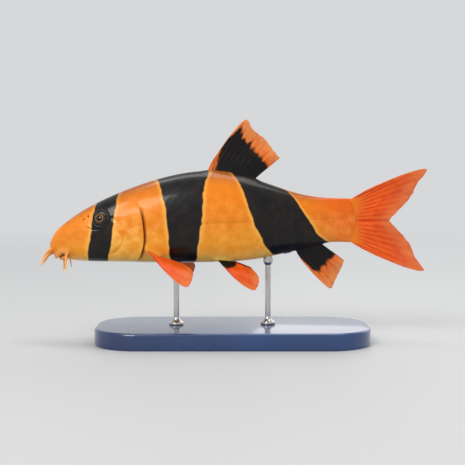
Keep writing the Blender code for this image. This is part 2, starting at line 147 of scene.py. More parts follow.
def mirrored(points, mirror):
    return np.asarray(points, float) * (1, mirror, 1)


def gridFaces(rows, columns, start=0, closed=False):
    # quads over a grid of points, closed when the last column meets the first
    i, j = np.meshgrid(np.arange(rows - 1), np.arange(columns if closed else columns - 1), indexing="ij")
    k = (j + 1) % columns
    quads = np.stack([i * columns + j, i * columns + k, (i + 1) * columns + k, (i + 1) * columns + j], axis=-1)
    return (quads.reshape(-1, 4) + start).tolist()


def makePiece(name, points, faces, finish, marks=None, edges=()):
    # points in metres; marks are named numbers, one for each point, that the materials read
    mesh = bpy.data.meshes.new(name)
    mesh.from_pydata(np.asarray(points, float).tolist(), list(edges), faces)
    for key, values in (marks or {}).items():
        mark = mesh.attributes.new(key, "FLOAT", "POINT")
        mark.data.foreach_set("value", np.asarray(values, np.float32).ravel())
    if finish:
        mesh.materials.append(finish)
    if faces:
        mesh.shade_smooth()
    piece = bpy.data.objects.new(name, mesh)
    bpy.context.scene.collection.objects.link(piece)
    return piece


def faceOut(piece):
    # turns a closed piece right side out
    shape = bmesh.new()
    shape.from_mesh(piece.data)
    if shape.calc_volume(signed=True) < 0:
        bmesh.ops.reverse_faces(shape, faces=shape.faces)
        shape.to_mesh(piece.data)
    shape.free()
    return piece


# Shader helpers: short ways to add and link nodes.
def addNode(tree, kind, inputs=None, **settings):
    node = tree.nodes.new(kind)
    for key, value in settings.items():
        setattr(node, key, value)
    for key, value in (inputs or {}).items():
        put(tree, node.inputs[key], value)
    return node


def put(tree, socket, value):
    if isinstance(value, bpy.types.NodeSocket):
        tree.links.new(value, socket)
    else:
        socket.default_value = value


def calc(tree, operation, a, b=0.0, c=0.0, clamp=False):
    node = tree.nodes.new("ShaderNodeMath")
    node.operation, node.use_clamp = operation, clamp
    for socket, value in zip(node.inputs, (a, b, c)):
        put(tree, socket, value)
    return node.outputs[0]


def step(tree, value, start, end):
    # 0 at start and 1 at end, smooth between, for a value that varies over the surface
    node = addNode(
        tree, "ShaderNodeMapRange", {"Value": value, "From Min": start, "From Max": end},
        interpolation_type="SMOOTHSTEP",
    )
    return node.outputs["Result"]


def blendColour(tree, share, a, b, kind="MIX"):
    node = addNode(tree, "ShaderNodeMix", data_type="RGBA", blend_type=kind)
    put(tree, node.inputs[0], share)
    for socket, value in ((node.inputs[6], a), (node.inputs[7], b)):
        put(tree, socket, value if isinstance(value, bpy.types.NodeSocket) else (*value, 1))
    return node.outputs[2]


def noise(tree, place, scale, detail=2.0, roughness=0.5, stretch=None):
    if stretch:
        place = addNode(tree, "ShaderNodeMapping", {"Vector": place, "Scale": stretch}).outputs[0]
    node = addNode(tree, "ShaderNodeTexNoise", {"Vector": place, "Scale": scale, "Detail": detail, "Roughness": roughness})
    return node.outputs["Fac"]


def mark(tree, name):
    return addNode(tree, "ShaderNodeAttribute", attribute_name=name).outputs["Fac"]


def place(tree):
    return tree.nodes.new("ShaderNodeTexCoord").outputs["Object"]


def makeGroup(name, inputs, outputs):
    # a shader node group with named number inputs and named outputs
    tree = bpy.data.node_groups.new(name, "ShaderNodeTree")
    for key, value in inputs.items():
        socket = tree.interface.new_socket(key, in_out="INPUT", socket_type="NodeSocketFloat")
        socket.default_value = value
    for key, kind in outputs.items():
        tree.interface.new_socket(key, in_out="OUTPUT", socket_type=kind)
    start = tree.nodes.new("NodeGroupInput").outputs
    end = tree.nodes.new("NodeGroupOutput").inputs
    return tree, start, end


def useGroup(tree, group, **values):
    node = tree.nodes.new("ShaderNodeGroup")
    node.node_tree = group
    for key, value in values.items():
        put(tree, node.inputs[key], value)
    return node.outputs


def newMaterial(name, **constants):
    finish = bpy.data.materials.new(name)
    finish.use_nodes = True
    tree = finish.node_tree
    shader = tree.nodes["Principled BSDF"]
    for key, value in constants.items():
        shader.inputs[key.replace("_", " ")].default_value = value
    return finish, tree, shader.inputs


def setBump(tree, shaderInputs, height, strength, distance):
    bump = addNode(tree, "ShaderNodeBump", {"Height": height, "Strength": strength, "Distance": distance})
    tree.links.new(bump.outputs[0], shaderInputs["Normal"])


numberOut = "NodeSocketFloat"

# How far a point lies inside a dark band, in millimetres, negative outside it.
bandPlaces = {
    "faceBand": {"front": (25.5, 21.5, 20.0), "rear": (37.5, 33.0, 30.5)},
    "shoulderBand": {"front": (56.0, 65.5, 64.5), "rear": (84.5, 80.0, 77.0)},
    "tailBand": {"front": (95.5, 107.0, 122.0), "rear": (123.0, 138.0, 151.0)},
}


def buildBandGroup():
    names = ("Front Top", "Front Middle", "Front Bottom", "Rear Top", "Rear Middle", "Rear Bottom")
    tree, start, end = makeGroup(
        "bandDistance", {"Along": 0, "Down": 0, "Waver": 0, **dict.fromkeys(names, 0.0)}, {"Inside": numberOut}
    )
    down = start["Down"]
    up = calc(tree, "SUBTRACT", 1.0, down)
    weights = (
        calc(tree, "MULTIPLY", up, up),
        calc(tree, "MULTIPLY", calc(tree, "MULTIPLY", up, down), 2.0),
        calc(tree, "MULTIPLY", down, down),
    )
    edges = []
    for side in ("Front", "Rear"):
        total = 0.0
        for weight, level in zip(weights, ("Top", "Middle", "Bottom")):
            total = calc(tree, "MULTIPLY_ADD", weight, start[f"{side} {level}"], total)
        edges.append(total)
    fromFront = calc(tree, "SUBTRACT", start["Along"], edges[0])
    fromRear = calc(tree, "SUBTRACT", edges[1], start["Along"])
    inside = calc(tree, "SMOOTH_MIN", fromFront, fromRear, 1.0)
    put(tree, end["Inside"], calc(tree, "ADD", inside, start["Waver"]))
    return tree


def buildScaleGroup():
    # tiny scales sunk in the skin, each a low dome, a little longer than they are high; Shade is painted shade towards
    # each dome's sunk edge
    tree, start, end = makeGroup(
        "fineScales", {"Along": 0, "Girth": 0, "Pitch": 1.0}, {"Height": numberOut, "Shade": numberOut}
    )
    u = calc(tree, "DIVIDE", start["Along"], calc(tree, "MULTIPLY", start["Pitch"], 1.15))
    v = calc(tree, "MULTIPLY_ADD", u, 0.5, calc(tree, "DIVIDE", start["Girth"], start["Pitch"]))
    cell = addNode(tree, "ShaderNodeCombineXYZ", {"X": u, "Y": v}).outputs[0]
    cells = addNode(
        tree, "ShaderNodeTexVoronoi", {"Vector": cell, "Scale": 1.0, "Randomness": 0.8},
        voronoi_dimensions="2D", feature="F1",
    )
    distance = cells.outputs["Distance"]
    put(tree, end["Height"], calc(tree, "MULTIPLY_ADD", calc(tree, "MULTIPLY", distance, distance), -1.5, 1.0))
    put(tree, end["Shade"], step(tree, distance, 0.3, 0.75))
    return tree


def buildSpeckleGroup():
    # tiny dark spots of pigment, thicker where Density is greater
    tree, start, end = makeGroup("pigmentSpecks", {"Size": 0.4, "Density": 0.5}, {"Mask": numberOut})
    scale = calc(tree, "DIVIDE", 1000.0, start["Size"])
    fine = addNode(tree, "ShaderNodeTexVoronoi", {"Vector": place(tree), "Scale": scale, "Randomness": 1.0})
    patches = noise(tree, place(tree), 260.0, detail=3.0)
    limit = calc(tree, "MULTIPLY", calc(tree, "MULTIPLY", start["Density"], patches), 0.62)
    spot = calc(tree, "SUBTRACT", limit, fine.outputs["Distance"])
    put(tree, end["Mask"], step(tree, spot, -0.06, 0.06))
    return tree


def buildJointGroup():
    # the joints of a soft fin ray, one every Length millimetres along it
    tree, start, end = makeGroup("rayJoints", {"Run": 0, "Length": 0.9}, {"Line": numberOut, "Height": numberOut})
    turns = calc(tree, "DIVIDE", start["Run"], start["Length"])
    wave = calc(tree, "PINGPONG", turns, 0.5)
    put(tree, end["Line"], step(tree, wave, 0.13, 0.02))
    put(tree, end["Height"], step(tree, wave, 0.0, 0.22))
    return tree


bandGroup = buildBandGroup()
scaleGroup = buildScaleGroup()
speckleGroup = buildSpeckleGroup()
jointGroup = buildJointGroup()

skinColours = {
    "back": (0.34, 0.085, 0.003),
    "flank": (0.82, 0.22, 0.003),
    "lowFlank": (0.90, 0.33, 0.012),
    "belly": (0.88, 0.52, 0.11),
    "snout": (0.70, 0.21, 0.010),
    "tailStem": (0.84, 0.12, 0.002),
    "band": (0.0045, 0.004, 0.0045),
    "bandSoft": (0.016, 0.009, 0.006),
    "bandRim": (0.94, 0.52, 0.085),
    "lips": (0.80, 0.32, 0.11),
    "speck": (0.10, 0.016, 0.006),
    "hollowShadeTint": (0.20, 0.09, 0.07),
    "paintedSheen": (0.95, 0.55, 0.15),
}


def buildSkinMaterial():
    finish, tree, shader = newMaterial(
        "loachSkin", Coat_Roughness=0.12, Coat_IOR=1.33, Specular_IOR_Level=0.14, Subsurface_Weight=0.08,
        Subsurface_Radius=(1.0, 0.35, 0.12), Subsurface_Scale=0.0018,
    )
    colours = skinColours
    along, down = mark(tree, "along"), mark(tree, "down")
    girth, hollowShade, lip = mark(tree, "girth"), mark(tree, "hollowShade"), mark(tree, "lip")
    where = place(tree)
    broad = noise(tree, where, 55.0, detail=3.0)
    middle = noise(tree, where, 210.0, detail=3.0)

    # ground colour, from the back down to the belly, the same all round at the tip of the snout
    tip = step(tree, along, 10.0, 0.8)
    level = calc(tree, "MULTIPLY_ADD", tip, calc(tree, "SUBTRACT", 0.42, down), down)
    density = calc(tree, "MULTIPLY_ADD", step(tree, level, 0.62, 0.05), 0.75, 0.22)
    level = calc(tree, "ADD", level, calc(tree, "MULTIPLY", calc(tree, "SUBTRACT", broad, 0.5), 0.12))
    colour = blendColour(tree, step(tree, level, 0.06, 0.30), colours["back"], colours["flank"])
    colour = blendColour(tree, step(tree, level, 0.42, 0.66), colour, colours["lowFlank"])
    colour = blendColour(tree, step(tree, level, 0.68, 0.86), colour, colours["belly"])
    colour = blendColour(tree, calc(tree, "MULTIPLY", step(tree, along, 24.0, 6.0), 0.6), colour, colours["snout"])
    rearShare = calc(tree, "MULTIPLY", step(tree, along, 128.0, 158.0), 0.8)
    colour = blendColour(tree, rearShare, colour, colours["tailStem"])

    # painted sheen: pale golden patches on the cheek, gill cover and flank that stand in for the skin's iridescent
    # reflection
    onSide = calc(tree, "MULTIPLY", step(tree, down, 0.28, 0.5), step(tree, down, 0.92, 0.66))
    cheek = calc(tree, "MULTIPLY", step(tree, along, 14.0, 30.0), step(tree, along, 60.0, 44.0))
    paintedSheen = calc(tree, "MULTIPLY", onSide, calc(tree, "MULTIPLY_ADD", cheek, 0.5, 0.22))
    paintedSheen = calc(tree, "MULTIPLY", paintedSheen, step(tree, middle, 0.3, 0.8))
    colour = blendColour(tree, paintedSheen, colour, colours["paintedSheen"])
    mottle = calc(tree, "MULTIPLY_ADD", calc(tree, "SUBTRACT", middle, 0.5), 0.3, 1.0)
    colour = blendColour(tree, 1.0, colour, addNode(
        tree, "ShaderNodeCombineColor", {"Red": mottle, "Green": mottle, "Blue": mottle}).outputs[0], "MULTIPLY")

    scales = useGroup(tree, scaleGroup, Along=along, Girth=girth, Pitch=0.8)
    onBody = step(tree, along, 40.0, 56.0)
    # painted shade between the scales: each scale's sunk edge darkened towards the back's colour
    scaleShadeShare = calc(tree, "MULTIPLY", calc(tree, "MULTIPLY", scales["Shade"], onBody), 0.14)
    colour = blendColour(tree, scaleShadeShare, colour, colours["back"])
    specks = useGroup(tree, speckleGroup, Size=0.3, Density=density)
    colour = blendColour(tree, calc(tree, "MULTIPLY", specks["Mask"], 0.34), colour, colours["speck"])
    colour = blendColour(tree, calc(tree, "MULTIPLY", lip, 0.75), colour, colours["lips"])

    # the three bands, each with a thin pale rim
    waver = calc(tree, "MULTIPLY", calc(tree, "SUBTRACT", noise(tree, where, 130.0, detail=4.0), 0.5), 3.4)
    inside = -99.0
    for places in bandPlaces.values():
        band = useGroup(
            tree, bandGroup, Along=along, Down=down, Waver=waver,
            **dict(zip(("Front Top", "Front Middle", "Front Bottom"), places["front"])),
            **dict(zip(("Rear Top", "Rear Middle", "Rear Bottom"), places["rear"])),
        )["Inside"]
        inside = calc(tree, "MAXIMUM", inside, band)
    rimShare = calc(tree, "MULTIPLY_ADD", step(tree, down, 0.10, 0.42), 0.30, calc(tree, "MULTIPLY", broad, 0.5))
    rim = calc(tree, "MULTIPLY", step(tree, inside, -2.4, -0.4), rimShare)
    colour = blendColour(tree, rim, colour, colours["bandRim"])
    dark = blendColour(tree, step(tree, middle, 0.35, 0.75), colours["band"], colours["bandSoft"])
    bandShare = step(tree, inside, -0.38, 0.42)
    colour = blendColour(tree, bandShare, colour, dark)
    # painted shade in the hollows: the colour darkened with a reddish-brown tint in the slits, pits and gill opening
    colour = blendColour(tree, hollowShade, colour, colours["hollowShadeTint"], "MULTIPLY")
    put(tree, shader["Base Color"], colour)

    rough = calc(tree, "MULTIPLY_ADD", middle, 0.18, 0.30)
    put(tree, shader["Roughness"], calc(tree, "MULTIPLY_ADD", bandShare, -0.05, rough))
    put(tree, shader["Coat Weight"], calc(tree, "MULTIPLY_ADD", broad, 0.35, 0.35))
    scaleHeight = calc(tree, "MULTIPLY", scales["Height"], onBody)
    skinGrain = noise(tree, where, 2600.0, detail=3.0)
    height = calc(tree, "MULTIPLY_ADD", skinGrain, 0.35, scaleHeight)
    setBump(tree, shader, height, 0.28, 0.00005)
    return finish


skinFinish = buildSkinMaterial()
print("skin finish ready")

# Small forms of the head and skin, the same in place as on the solids.
headForm = {
    "gillEdge": 43.5, "gillBulge": 7.0, "gillAngle": math.radians(100), "coverRise": 0.9, "coverStart": 33.0,
    "eyeX": 27.5, "eyeAngle": math.radians(59), "eyeRadius": 4.5, "eyeDepth": 3.1, "eyeSink": 1.8,
    "orbitRadius": 3.62, "eyeRim": 0.5,
    "nostrils": ((18.6, 47.0, 0.62), (20.9, 44.0, 0.72)), "nostrilDepth": 0.9,
    "mouthCorner": 9.6, "mouthLength": 5.0, "mouthHalfWidth": 5.6, "mouthFade": 3.6,
    "mouthDepth": 1.15, "mouthLine": 0.3, "lipHeight": 1.1, "lipWidth": 1.1, "lipFullness": 0.85,
    "chinSplit": 0.8, "cheek": (30.0, 14.5, 10.0), "cheekGroove": 0.35,
}

# Where the fins grow, as on the solids: (x, degrees) at each end of the root, and how high
# and how wide the flesh rises round it.
finRoots = {
    "dorsal": ((84, 0), (109, 0), 0.55, 2.6),
    "anal": ((131, 180), (145, 180), 0.5, 2.2),
    "pectoral": ((51.8, 122), (57.5, 141), 1.8, 1.8),
    "pelvic": ((89, 155), (95, 164), 0.9, 1.9),
}


def gillEdge(angle):
    facing = np.maximum(np.cos(np.abs(downAngle(angle)) - headForm["gillAngle"]), 0)
    return headForm["gillEdge"] + headForm["gillBulge"] * facing**1.5


def onSide(x, degrees):
    # a place on the left side as (x, distance out from the middle, height)
    return np.abs(bareBody(x, math.radians(degrees))) * (1, 1, 1)


def mouthGap(x, side):
    h = headForm
    return (np.hypot((x - h["mouthCorner"]) / h["mouthLength"], side / h["mouthHalfWidth"]) - 1) * h["mouthLength"]


def distanceTo(points, targets):
    # the least distance from each (x, side, height) point to any target
    least = np.full(points.shape[:-1], np.inf)
    for target in targets:
        least = np.minimum(least, np.linalg.norm(points - target, axis=-1))
    return least


def skinRelief(x, angle, point):
    # how far the skin stands out, how much painted shade the material lays in its hollows, and where its lips are
    h = headForm
    side, height = np.abs(point[..., 1]), point[..., 2]
    folded = np.stack([x, side, height], axis=-1)
    down = downAngle(angle)
    outMouth = mouthGap(x, side)
    below = ease(height, 9.2, 5.8) * ease(x, h["mouthCorner"] + h["mouthFade"], h["mouthCorner"] - 0.5 * h["mouthFade"])
    upperLip = hump(outMouth - h["lipWidth"], h["lipFullness"])
    lowerLip = hump(outMouth + h["lipWidth"], h["lipFullness"]) * (1 - 0.6 * hump(side, h["chinSplit"]))
    slit = hump(outMouth, h["mouthLine"])
    wrinkles = 0.05 * np.sin(side * 9.0) * np.sin(outMouth * 5.0)
    lips = h["lipHeight"] * (upperLip + 0.85 * lowerLip) - h["mouthDepth"] * slit + wrinkles * (upperLip + lowerLip)
    papillae = 0.07 * np.sin(side * 13.0) * np.sin(x * 13.0 + 1.0)
    lips = lips + papillae * (upperLip + lowerLip)
    snoutFold = -0.42 * hump(outMouth - 2.9, 0.5)

    eyePoint = onSide(h["eyeX"], math.degrees(h["eyeAngle"]))
    fromEye = np.linalg.norm(folded - eyePoint, axis=-1)
    orbit = -2.6 * ease(fromEye, h["orbitRadius"] + 0.15, h["orbitRadius"] - 0.65)
    eyeRim = h["eyeRim"] * hump(fromEye - h["orbitRadius"] - 0.75, 0.7)

    nostril = np.zeros_like(x)
    pit = np.zeros_like(x)
    for place, degrees, radius in h["nostrils"]:
        away = np.linalg.norm((folded - onSide(place, degrees)) * (1.15, 0.9, 0.9), axis=-1)
        nostril += 0.17 * hump(away - radius - 0.3, 0.38)
        pit = np.maximum(pit, ease(away, radius + 0.05, 0.35 * radius))
    nostril -= h["nostrilDepth"] * pit
    flapX, flapTurn, _ = np.mean(h["nostrils"], axis=0)
    flap = np.linalg.norm((folded - onSide(flapX, flapTurn)) * (1.6, 1, 1), axis=-1)
    nostril += 0.55 * hump(flap, 0.5)

    # the narrow slit under the eye that holds the folded spine
    t = np.clip((x - 20.5) / 8.5, 0, 1)
    slitLine = eyePoint[2] - 4.6 - 1.3 * np.sin(math.pi * t) + 0.5 * t
    onLine = ease(x, 19.6, 21.5) * ease(x, 30.0, 27.6)
    spineSlit = hump(height - slitLine, 0.3) * onLine
    spineRidge = hump(height - slitLine - 0.75, 0.5) * onLine

    cheekX, cheekZ, cheekSize = h["cheek"]
    fromCheek = np.hypot(x - cheekX, height - cheekZ) - cheekSize
    cheek = -h["cheekGroove"] * hump(fromCheek, 0.8) * ease(x, 31, 35) * ease(height, 2, 6)
    cheek = cheek + 0.45 * hump(np.hypot(x - 33.0, (height - 13.0) * 1.1), 5.5)
    temple = -0.3 * hump(np.hypot((x - 38.0) / 1.8, height - back(x) + 8.0), 3.2)

    edge = gillEdge(angle)
    flank = ease(down, 0.8, 1.25) * ease(down, 2.95, 2.5)
    cover = h["coverRise"] * flank * ease(x, h["coverStart"], edge) * (x <= edge + 1e-6)
    bone = -0.22 * flank * hump(x - edge + 5.5, 2.6) + 0.1 * flank * hump(x - edge + 1.0, 0.8)

    # flesh that rises round the root of each fin and feeler
    flesh = np.zeros_like(x)
    for first, last, rise, width in finRoots.values():
        roots = [onSide(first[0] + (last[0] - first[0]) * s, first[1] + (last[1] - first[1]) * s)
                 for s in np.linspace(0, 1, 26)]
        flesh += rise * hump(distanceTo(folded, roots), width)
    for name, bx, degrees, *_ in barbelPlaces:
        flesh += 0.8 * hump(distanceTo(folded, [onSide(bx, degrees)]), 1.3)

    # the vent, just before the anal fin
    vent = np.hypot((x - 126.5) / 1.5, side)
    flesh += (0.5 * hump(vent - 0.9, 0.6) - 0.5 * hump(vent, 0.4)) * (down > 2.5)

    # the lateral line and the faint edges of the muscle blocks
    lineHeight = axisHeight(x) + 3.2 - 1.4 * ease(x, 50, 90)
    pores = (0.5 + 0.5 * np.cos(x * 2 * math.pi / 2.2)) * ease(x, 52, 58) * ease(x, 158, 150)
    lateral = -(0.04 * ease(x, 52, 58) + 0.09 * pores) * hump(height - lineHeight, 0.4)
    chevron = np.abs((height - axisHeight(x)) / 9.0)
    chevron = np.minimum(chevron, np.abs(chevron - 1.0) + 0.35)
    blocks = -0.022 * np.abs(np.sin((x - 7.0 * chevron) * math.pi / 4.6)) ** 3
    blocks = blocks * ease(x, 56, 66) * ease(down, 0.55, 1.05) * ease(down, 2.8, 2.3)

    relief = (lips + snoutFold) * below + orbit + eyeRim + nostril - 0.4 * spineSlit + 0.16 * spineRidge
    relief = relief + cheek + temple + cover + bone + flesh + lateral + blocks
    # painted shade for the mouth slit, nostril pits, spine slit, groove round the eye, lateral line pores and vent
    hollowShade = np.maximum.reduce([
        slit * below, 0.9 * pit, 0.75 * spineSlit, 0.6 * ease(fromEye, h["orbitRadius"] + 0.1, h["orbitRadius"] - 0.5),
        (0.05 * ease(x, 52, 58) + 0.2 * pores) * hump(height - lineHeight, 0.35), 0.8 * hump(vent, 0.35) * (down > 2.5),
    ])
    lip = np.clip((upperLip + lowerLip) * below, 0, 1)
    return relief, hollowShade, lip, flesh


# Feelers on the left: name, root x, degrees round the head, length, root radius, where the tip aims.
barbelPlaces = (
    ("barbel_snout_inner", 1.25, 158, 8.0, 0.72, (-0.55, -0.22, -0.95)),
    ("barbel_snout_outer", 1.7, 116, 10.0, 0.78, (-0.42, -0.55, -1.0)),
    ("barbel_mouth_corner", 10.0, 123, 11.5, 0.82, (0.1, -0.5, -1.0)),
    ("barbel_chin", 8.2, 166, 5.0, 0.62, (-0.1, -0.25, -1.0)),
)

skinMesh = {
    "columns": 240,
    "snoutRings": 24,
    "mouthStep": 0.2,
    "faceRings": 84,
    "bodyRings": 196,
    "tailFlesh": 3.4,
    "tailRings": 9,
}

# The gill opening: each ring behind the cover's edge as (x when closed, x when open, height when open).
gillFold = (
    (0.15, 0.16, 0.72), (0.3, 0.2, 0.34), (0.45, 0.0, -0.05), (0.6, -0.7, -0.32), (0.8, -1.1, -0.5),
    (1.0, -0.45, -0.55), (1.25, 0.3, -0.4), (1.6, 1.1, -0.1),
)


def buildSkin():
    m, h = skinMesh, headForm
    columns = m["columns"]
    turn = np.linspace(0, 2 * math.pi, columns, endpoint=False)

    def anglesAt(x):
        return turn + (0.12 + 0.40 * float(ease(x, 40, 10))) * np.sin(turn)

    startX = 2.4
    straight = list(startX * (1 - np.cos(np.linspace(0.06, math.pi / 2, m["snoutRings"]))))
    straight += list(np.arange(startX + m["mouthStep"], 14.0, m["mouthStep"]))
    rows = []  # each row: x, angle, height in the gill's fold, share of the flesh kept there
    for x in straight:
        rows.append((np.full(columns, x), anglesAt(x), None, 0))
    lastX = straight[-1]
    for share in np.linspace(0, 1, m["faceRings"] + 1)[1:]:
        near = lastX + share * (h["gillEdge"] + 3 - lastX)
        angle = anglesAt(near)
        rows.append((lastX + share * (gillEdge(angle) - lastX), angle, None, 0))
    angle = anglesAt(99)
    edge = gillEdge(angle)
    down = downAngle(angle)
    opening = ease(down, 0.95, 1.3) * ease(down, 2.85, 2.45)
    for i, (closedX, openX, openHeight) in enumerate(gillFold):
        kept = (i / (len(gillFold) - 1)) ** 2
        rows.append((edge + closedX + (openX - closedX) * opening, angle, openHeight * opening, kept))
    start = edge + gillFold[-1][0] + 0.4
    for share in np.linspace(0, 1, m["bodyRings"]) ** 1.04:
        rows.append((start + share * (fishForm["bodyLength"] - start), angle, None, 0))

    x = np.array([row[0] for row in rows])
    angles = np.array([row[1] for row in rows])
    bare = bareBody(x, angles)
    relief, hollowShade, lip, flesh = skinRelief(x, angles, bare)
    for i, (_, _, fold, kept) in enumerate(rows):
        if fold is not None:
            relief[i] = relief[i] * (1 - opening) + fold + kept * flesh[i] * opening
            # painted shade deep in the open gill's fold
            hollowShade[i] = np.maximum(hollowShade[i], opening * ease(fold, 0.3, -0.3))
    points = bare + bodyNormal(x, angles) * relief[..., None]

    # flesh that runs out over the root of the tail fin and thins to its edge
    last = points[-1]
    middle = axisHeight(fishForm["bodyLength"])
    reachUp = (last[:, 2].max() - last[:, 2].min()) / 2
    centre = (last[:, 2].max() + last[:, 2].min()) / 2
    bulge = 1 - ((last[:, 2] - centre) / reachUp) ** 2
    tail = []
    for share in np.linspace(0, 1, m["tailRings"] + 1)[1:]:
        ring = last.copy()
        fingers = 0.12 * np.cos(last[:, 2] * 2 * math.pi / 1.15)
        ring[:, 0] += share * m["tailFlesh"] * (0.25 + 0.75 * bulge + fingers * share)
        ring[:, 1] *= 1 - 0.74 * share**1.2
        ring[:, 2] = centre + (ring[:, 2] - centre) * (1 - 0.02 * share)
        tail.append(ring)
    points = np.concatenate([points, tail])
    x = points[..., 0]
    angles = np.concatenate([angles, np.repeat(angles[-1:], len(tail), axis=0)])
    hollowShade = np.concatenate([hollowShade, np.repeat(hollowShade[-1:] * 0, len(tail), axis=0)])
    lip = np.concatenate([lip, np.repeat(lip[-1:] * 0, len(tail), axis=0)])
    rings = len(points)

    firstPoint = np.array([0.0, 0.0, float(axisHeight(0.0))])
    lastPoint = np.array([tail[-1][:, 0].max() - 0.4, 0.0, float(middle)])
    allPoints = np.concatenate([points.reshape(-1, 3), [firstPoint, lastPoint]])
    faces = gridFaces(rings, columns, closed=True)
    first, final = rings * columns, rings * columns + 1
    for j in range(columns):
        k = (j + 1) % columns
        faces.append((first, k, j))
        faces.append((final, (rings - 1) * columns + j, (rings - 1) * columns + k))
    down = downAngle(angles) / math.pi
    step = np.linalg.norm(np.diff(points, axis=1, append=points[:, :1]), axis=-1)
    half = columns // 2
    girth = np.zeros_like(x)
    girth[:, 1 : half + 1] = np.cumsum(step[:, :half], axis=1)
    girth[:, half + 1 :] = girth[:, 1:half][:, ::-1]

    def both(values, ends):
        return np.concatenate([values.ravel(), ends])

    marks = {
        "along": both(x, [0, 163]), "down": both(down, [0.5, 0.5]), "girth": both(girth, [0, 0]),
        "hollowShade": both(hollowShade, [0, 0]), "lip": both(lip, [0, 0]),
    }
    skin = makePiece("loach_skin", placed(allPoints), faces, skinFinish, marks)
    addSkinMap(skin, rings, columns)
    faceOut(skin)
    return skin


def addSkinMap(skin, rings, columns):
    # the skin laid flat: along the fish by round it, so that no face lies on another
    mesh = skin.data
    layer = mesh.uv_layers.new(name="OFBake")
    corners = np.empty(len(mesh.loops), np.int32)
    mesh.loops.foreach_get("vertex_index", corners)
    owner = np.repeat(np.arange(len(mesh.polygons)), [p.loop_total for p in mesh.polygons])
    row, column = corners // columns, corners % columns
    isEnd = corners >= rings * columns
    last = np.zeros(len(mesh.polygons), bool)
    wide = np.zeros(len(mesh.polygons), int)
    np.maximum.at(wide, owner[~isEnd], column[~isEnd])
    narrow = np.full(len(mesh.polygons), columns)
    np.minimum.at(narrow, owner[~isEnd], column[~isEnd])
    last = (wide == columns - 1) & (narrow == 0)
    column = np.where(last[owner] & (column == 0) & ~isEnd, columns, column).astype(float)
    middle = (narrow + np.where(last, columns, wide)) / 2.0
    column = np.where(isEnd, middle[owner], column)
    row = np.where(isEnd, np.where(corners == rings * columns, -0.8, rings - 0.2), row).astype(float)
    uv = np.stack([0.01 + 0.98 * (row + 1) / (rings + 1), 0.01 + 0.98 * column / columns], axis=-1)
    layer.data.foreach_set("uv", uv.astype(np.float32).ravel())


skin = buildSkin()
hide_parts("head", "trunk", "tail_stem")
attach(skin, "root")
print("skin done:", len(skin.data.polygons), "faces")


def buildTubeTree():
    # tubes along the loose edges of a mesh, as thick as its thick mark says, beside its own faces
    tree = bpy.data.node_groups.new("taperedTubes", "GeometryNodeTree")
    tree.interface.new_socket("Geometry", in_out="INPUT", socket_type="NodeSocketGeometry")
    tree.interface.new_socket("Sides", in_out="INPUT", socket_type="NodeSocketInt").default_value = 6
    tree.interface.new_socket("Finish", in_out="INPUT", socket_type="NodeSocketMaterial")
    tree.interface.new_socket("Geometry", in_out="OUTPUT", socket_type="NodeSocketGeometry")
    start = tree.nodes.new("NodeGroupInput").outputs
    isRay = addNode(tree, "GeometryNodeInputNamedAttribute", {"Name": "ray"}, data_type="FLOAT")
    thick = addNode(tree, "GeometryNodeInputNamedAttribute", {"Name": "thick"}, data_type="FLOAT")
    chosen = addNode(tree, "FunctionNodeCompare", operation="GREATER_THAN", data_type="FLOAT")
    put(tree, chosen.inputs[0], isRay.outputs[0])
    put(tree, chosen.inputs[1], 0.5)
    parts = addNode(tree, "GeometryNodeSeparateGeometry", domain="POINT")
    put(tree, parts.inputs["Geometry"], start["Geometry"])
    put(tree, parts.inputs["Selection"], chosen.outputs[0])
    paths = addNode(tree, "GeometryNodeMeshToCurve", {"Mesh": parts.outputs["Selection"]})
    circle = addNode(tree, "GeometryNodeCurvePrimitiveCircle", {"Resolution": start["Sides"], "Radius": 1.0})
    tubes = addNode(tree, "GeometryNodeCurveToMesh", {"Curve": paths.outputs[0], "Fill Caps": True})
    put(tree, tubes.inputs["Profile Curve"], circle.outputs[0])
    put(tree, tubes.inputs["Scale"], thick.outputs[0])
    both = tree.nodes.new("GeometryNodeJoinGeometry")
    tree.links.new(tubes.outputs[0], both.inputs[0])
    tree.links.new(parts.outputs["Inverted"], both.inputs[0])
    smooth = addNode(tree, "GeometryNodeSetShadeSmooth", {"Geometry": both.outputs[0]})
    real = addNode(tree, "GeometryNodeRealizeInstances", {"Geometry": smooth.outputs[0]})
    finished = addNode(tree, "GeometryNodeSetMaterial", {"Geometry": real.outputs[0], "Material": start["Finish"]})
    put(tree, tree.nodes.new("NodeGroupOutput").inputs[0], finished.outputs[0])
    return tree


tubeTree = buildTubeTree()


def applyTree(piece, tree, **values):
    # runs a tree on a piece and keeps the result as a plain mesh
    modifier = piece.modifiers.new(tree.name, "NODES")
    modifier.node_group = tree
    for socket in tree.interface.items_tree:
        if socket.in_out == "INPUT" and socket.name in values:
            modifier[socket.identifier] = values[socket.name]
    bpy.context.view_layer.update()
    evaluated = piece.evaluated_get(bpy.context.evaluated_depsgraph_get())
    made = bpy.data.meshes.new_from_object(evaluated)
    piece.modifiers.remove(modifier)
    old = piece.data
    piece.data = made
    bpy.data.meshes.remove(old)
    made.name = piece.name
    return piece


finColours = {
    "red": {
        "root": (0.82, 0.22, 0.008), "middle": (0.82, 0.075, 0.004), "margin": (0.88, 0.19, 0.022),
        "ray": (0.62, 0.030, 0.002), "dark": (0.005, 0.004, 0.004), "darkRay": (0.050, 0.010, 0.004),
    },
    "dark": {
        "root": (0.50, 0.11, 0.008), "middle": (0.82, 0.13, 0.006), "margin": (0.90, 0.30, 0.05),
        "ray": (0.66, 0.065, 0.004), "dark": (0.004, 0.0035, 0.004), "darkRay": (0.040, 0.009, 0.004),
    },
}


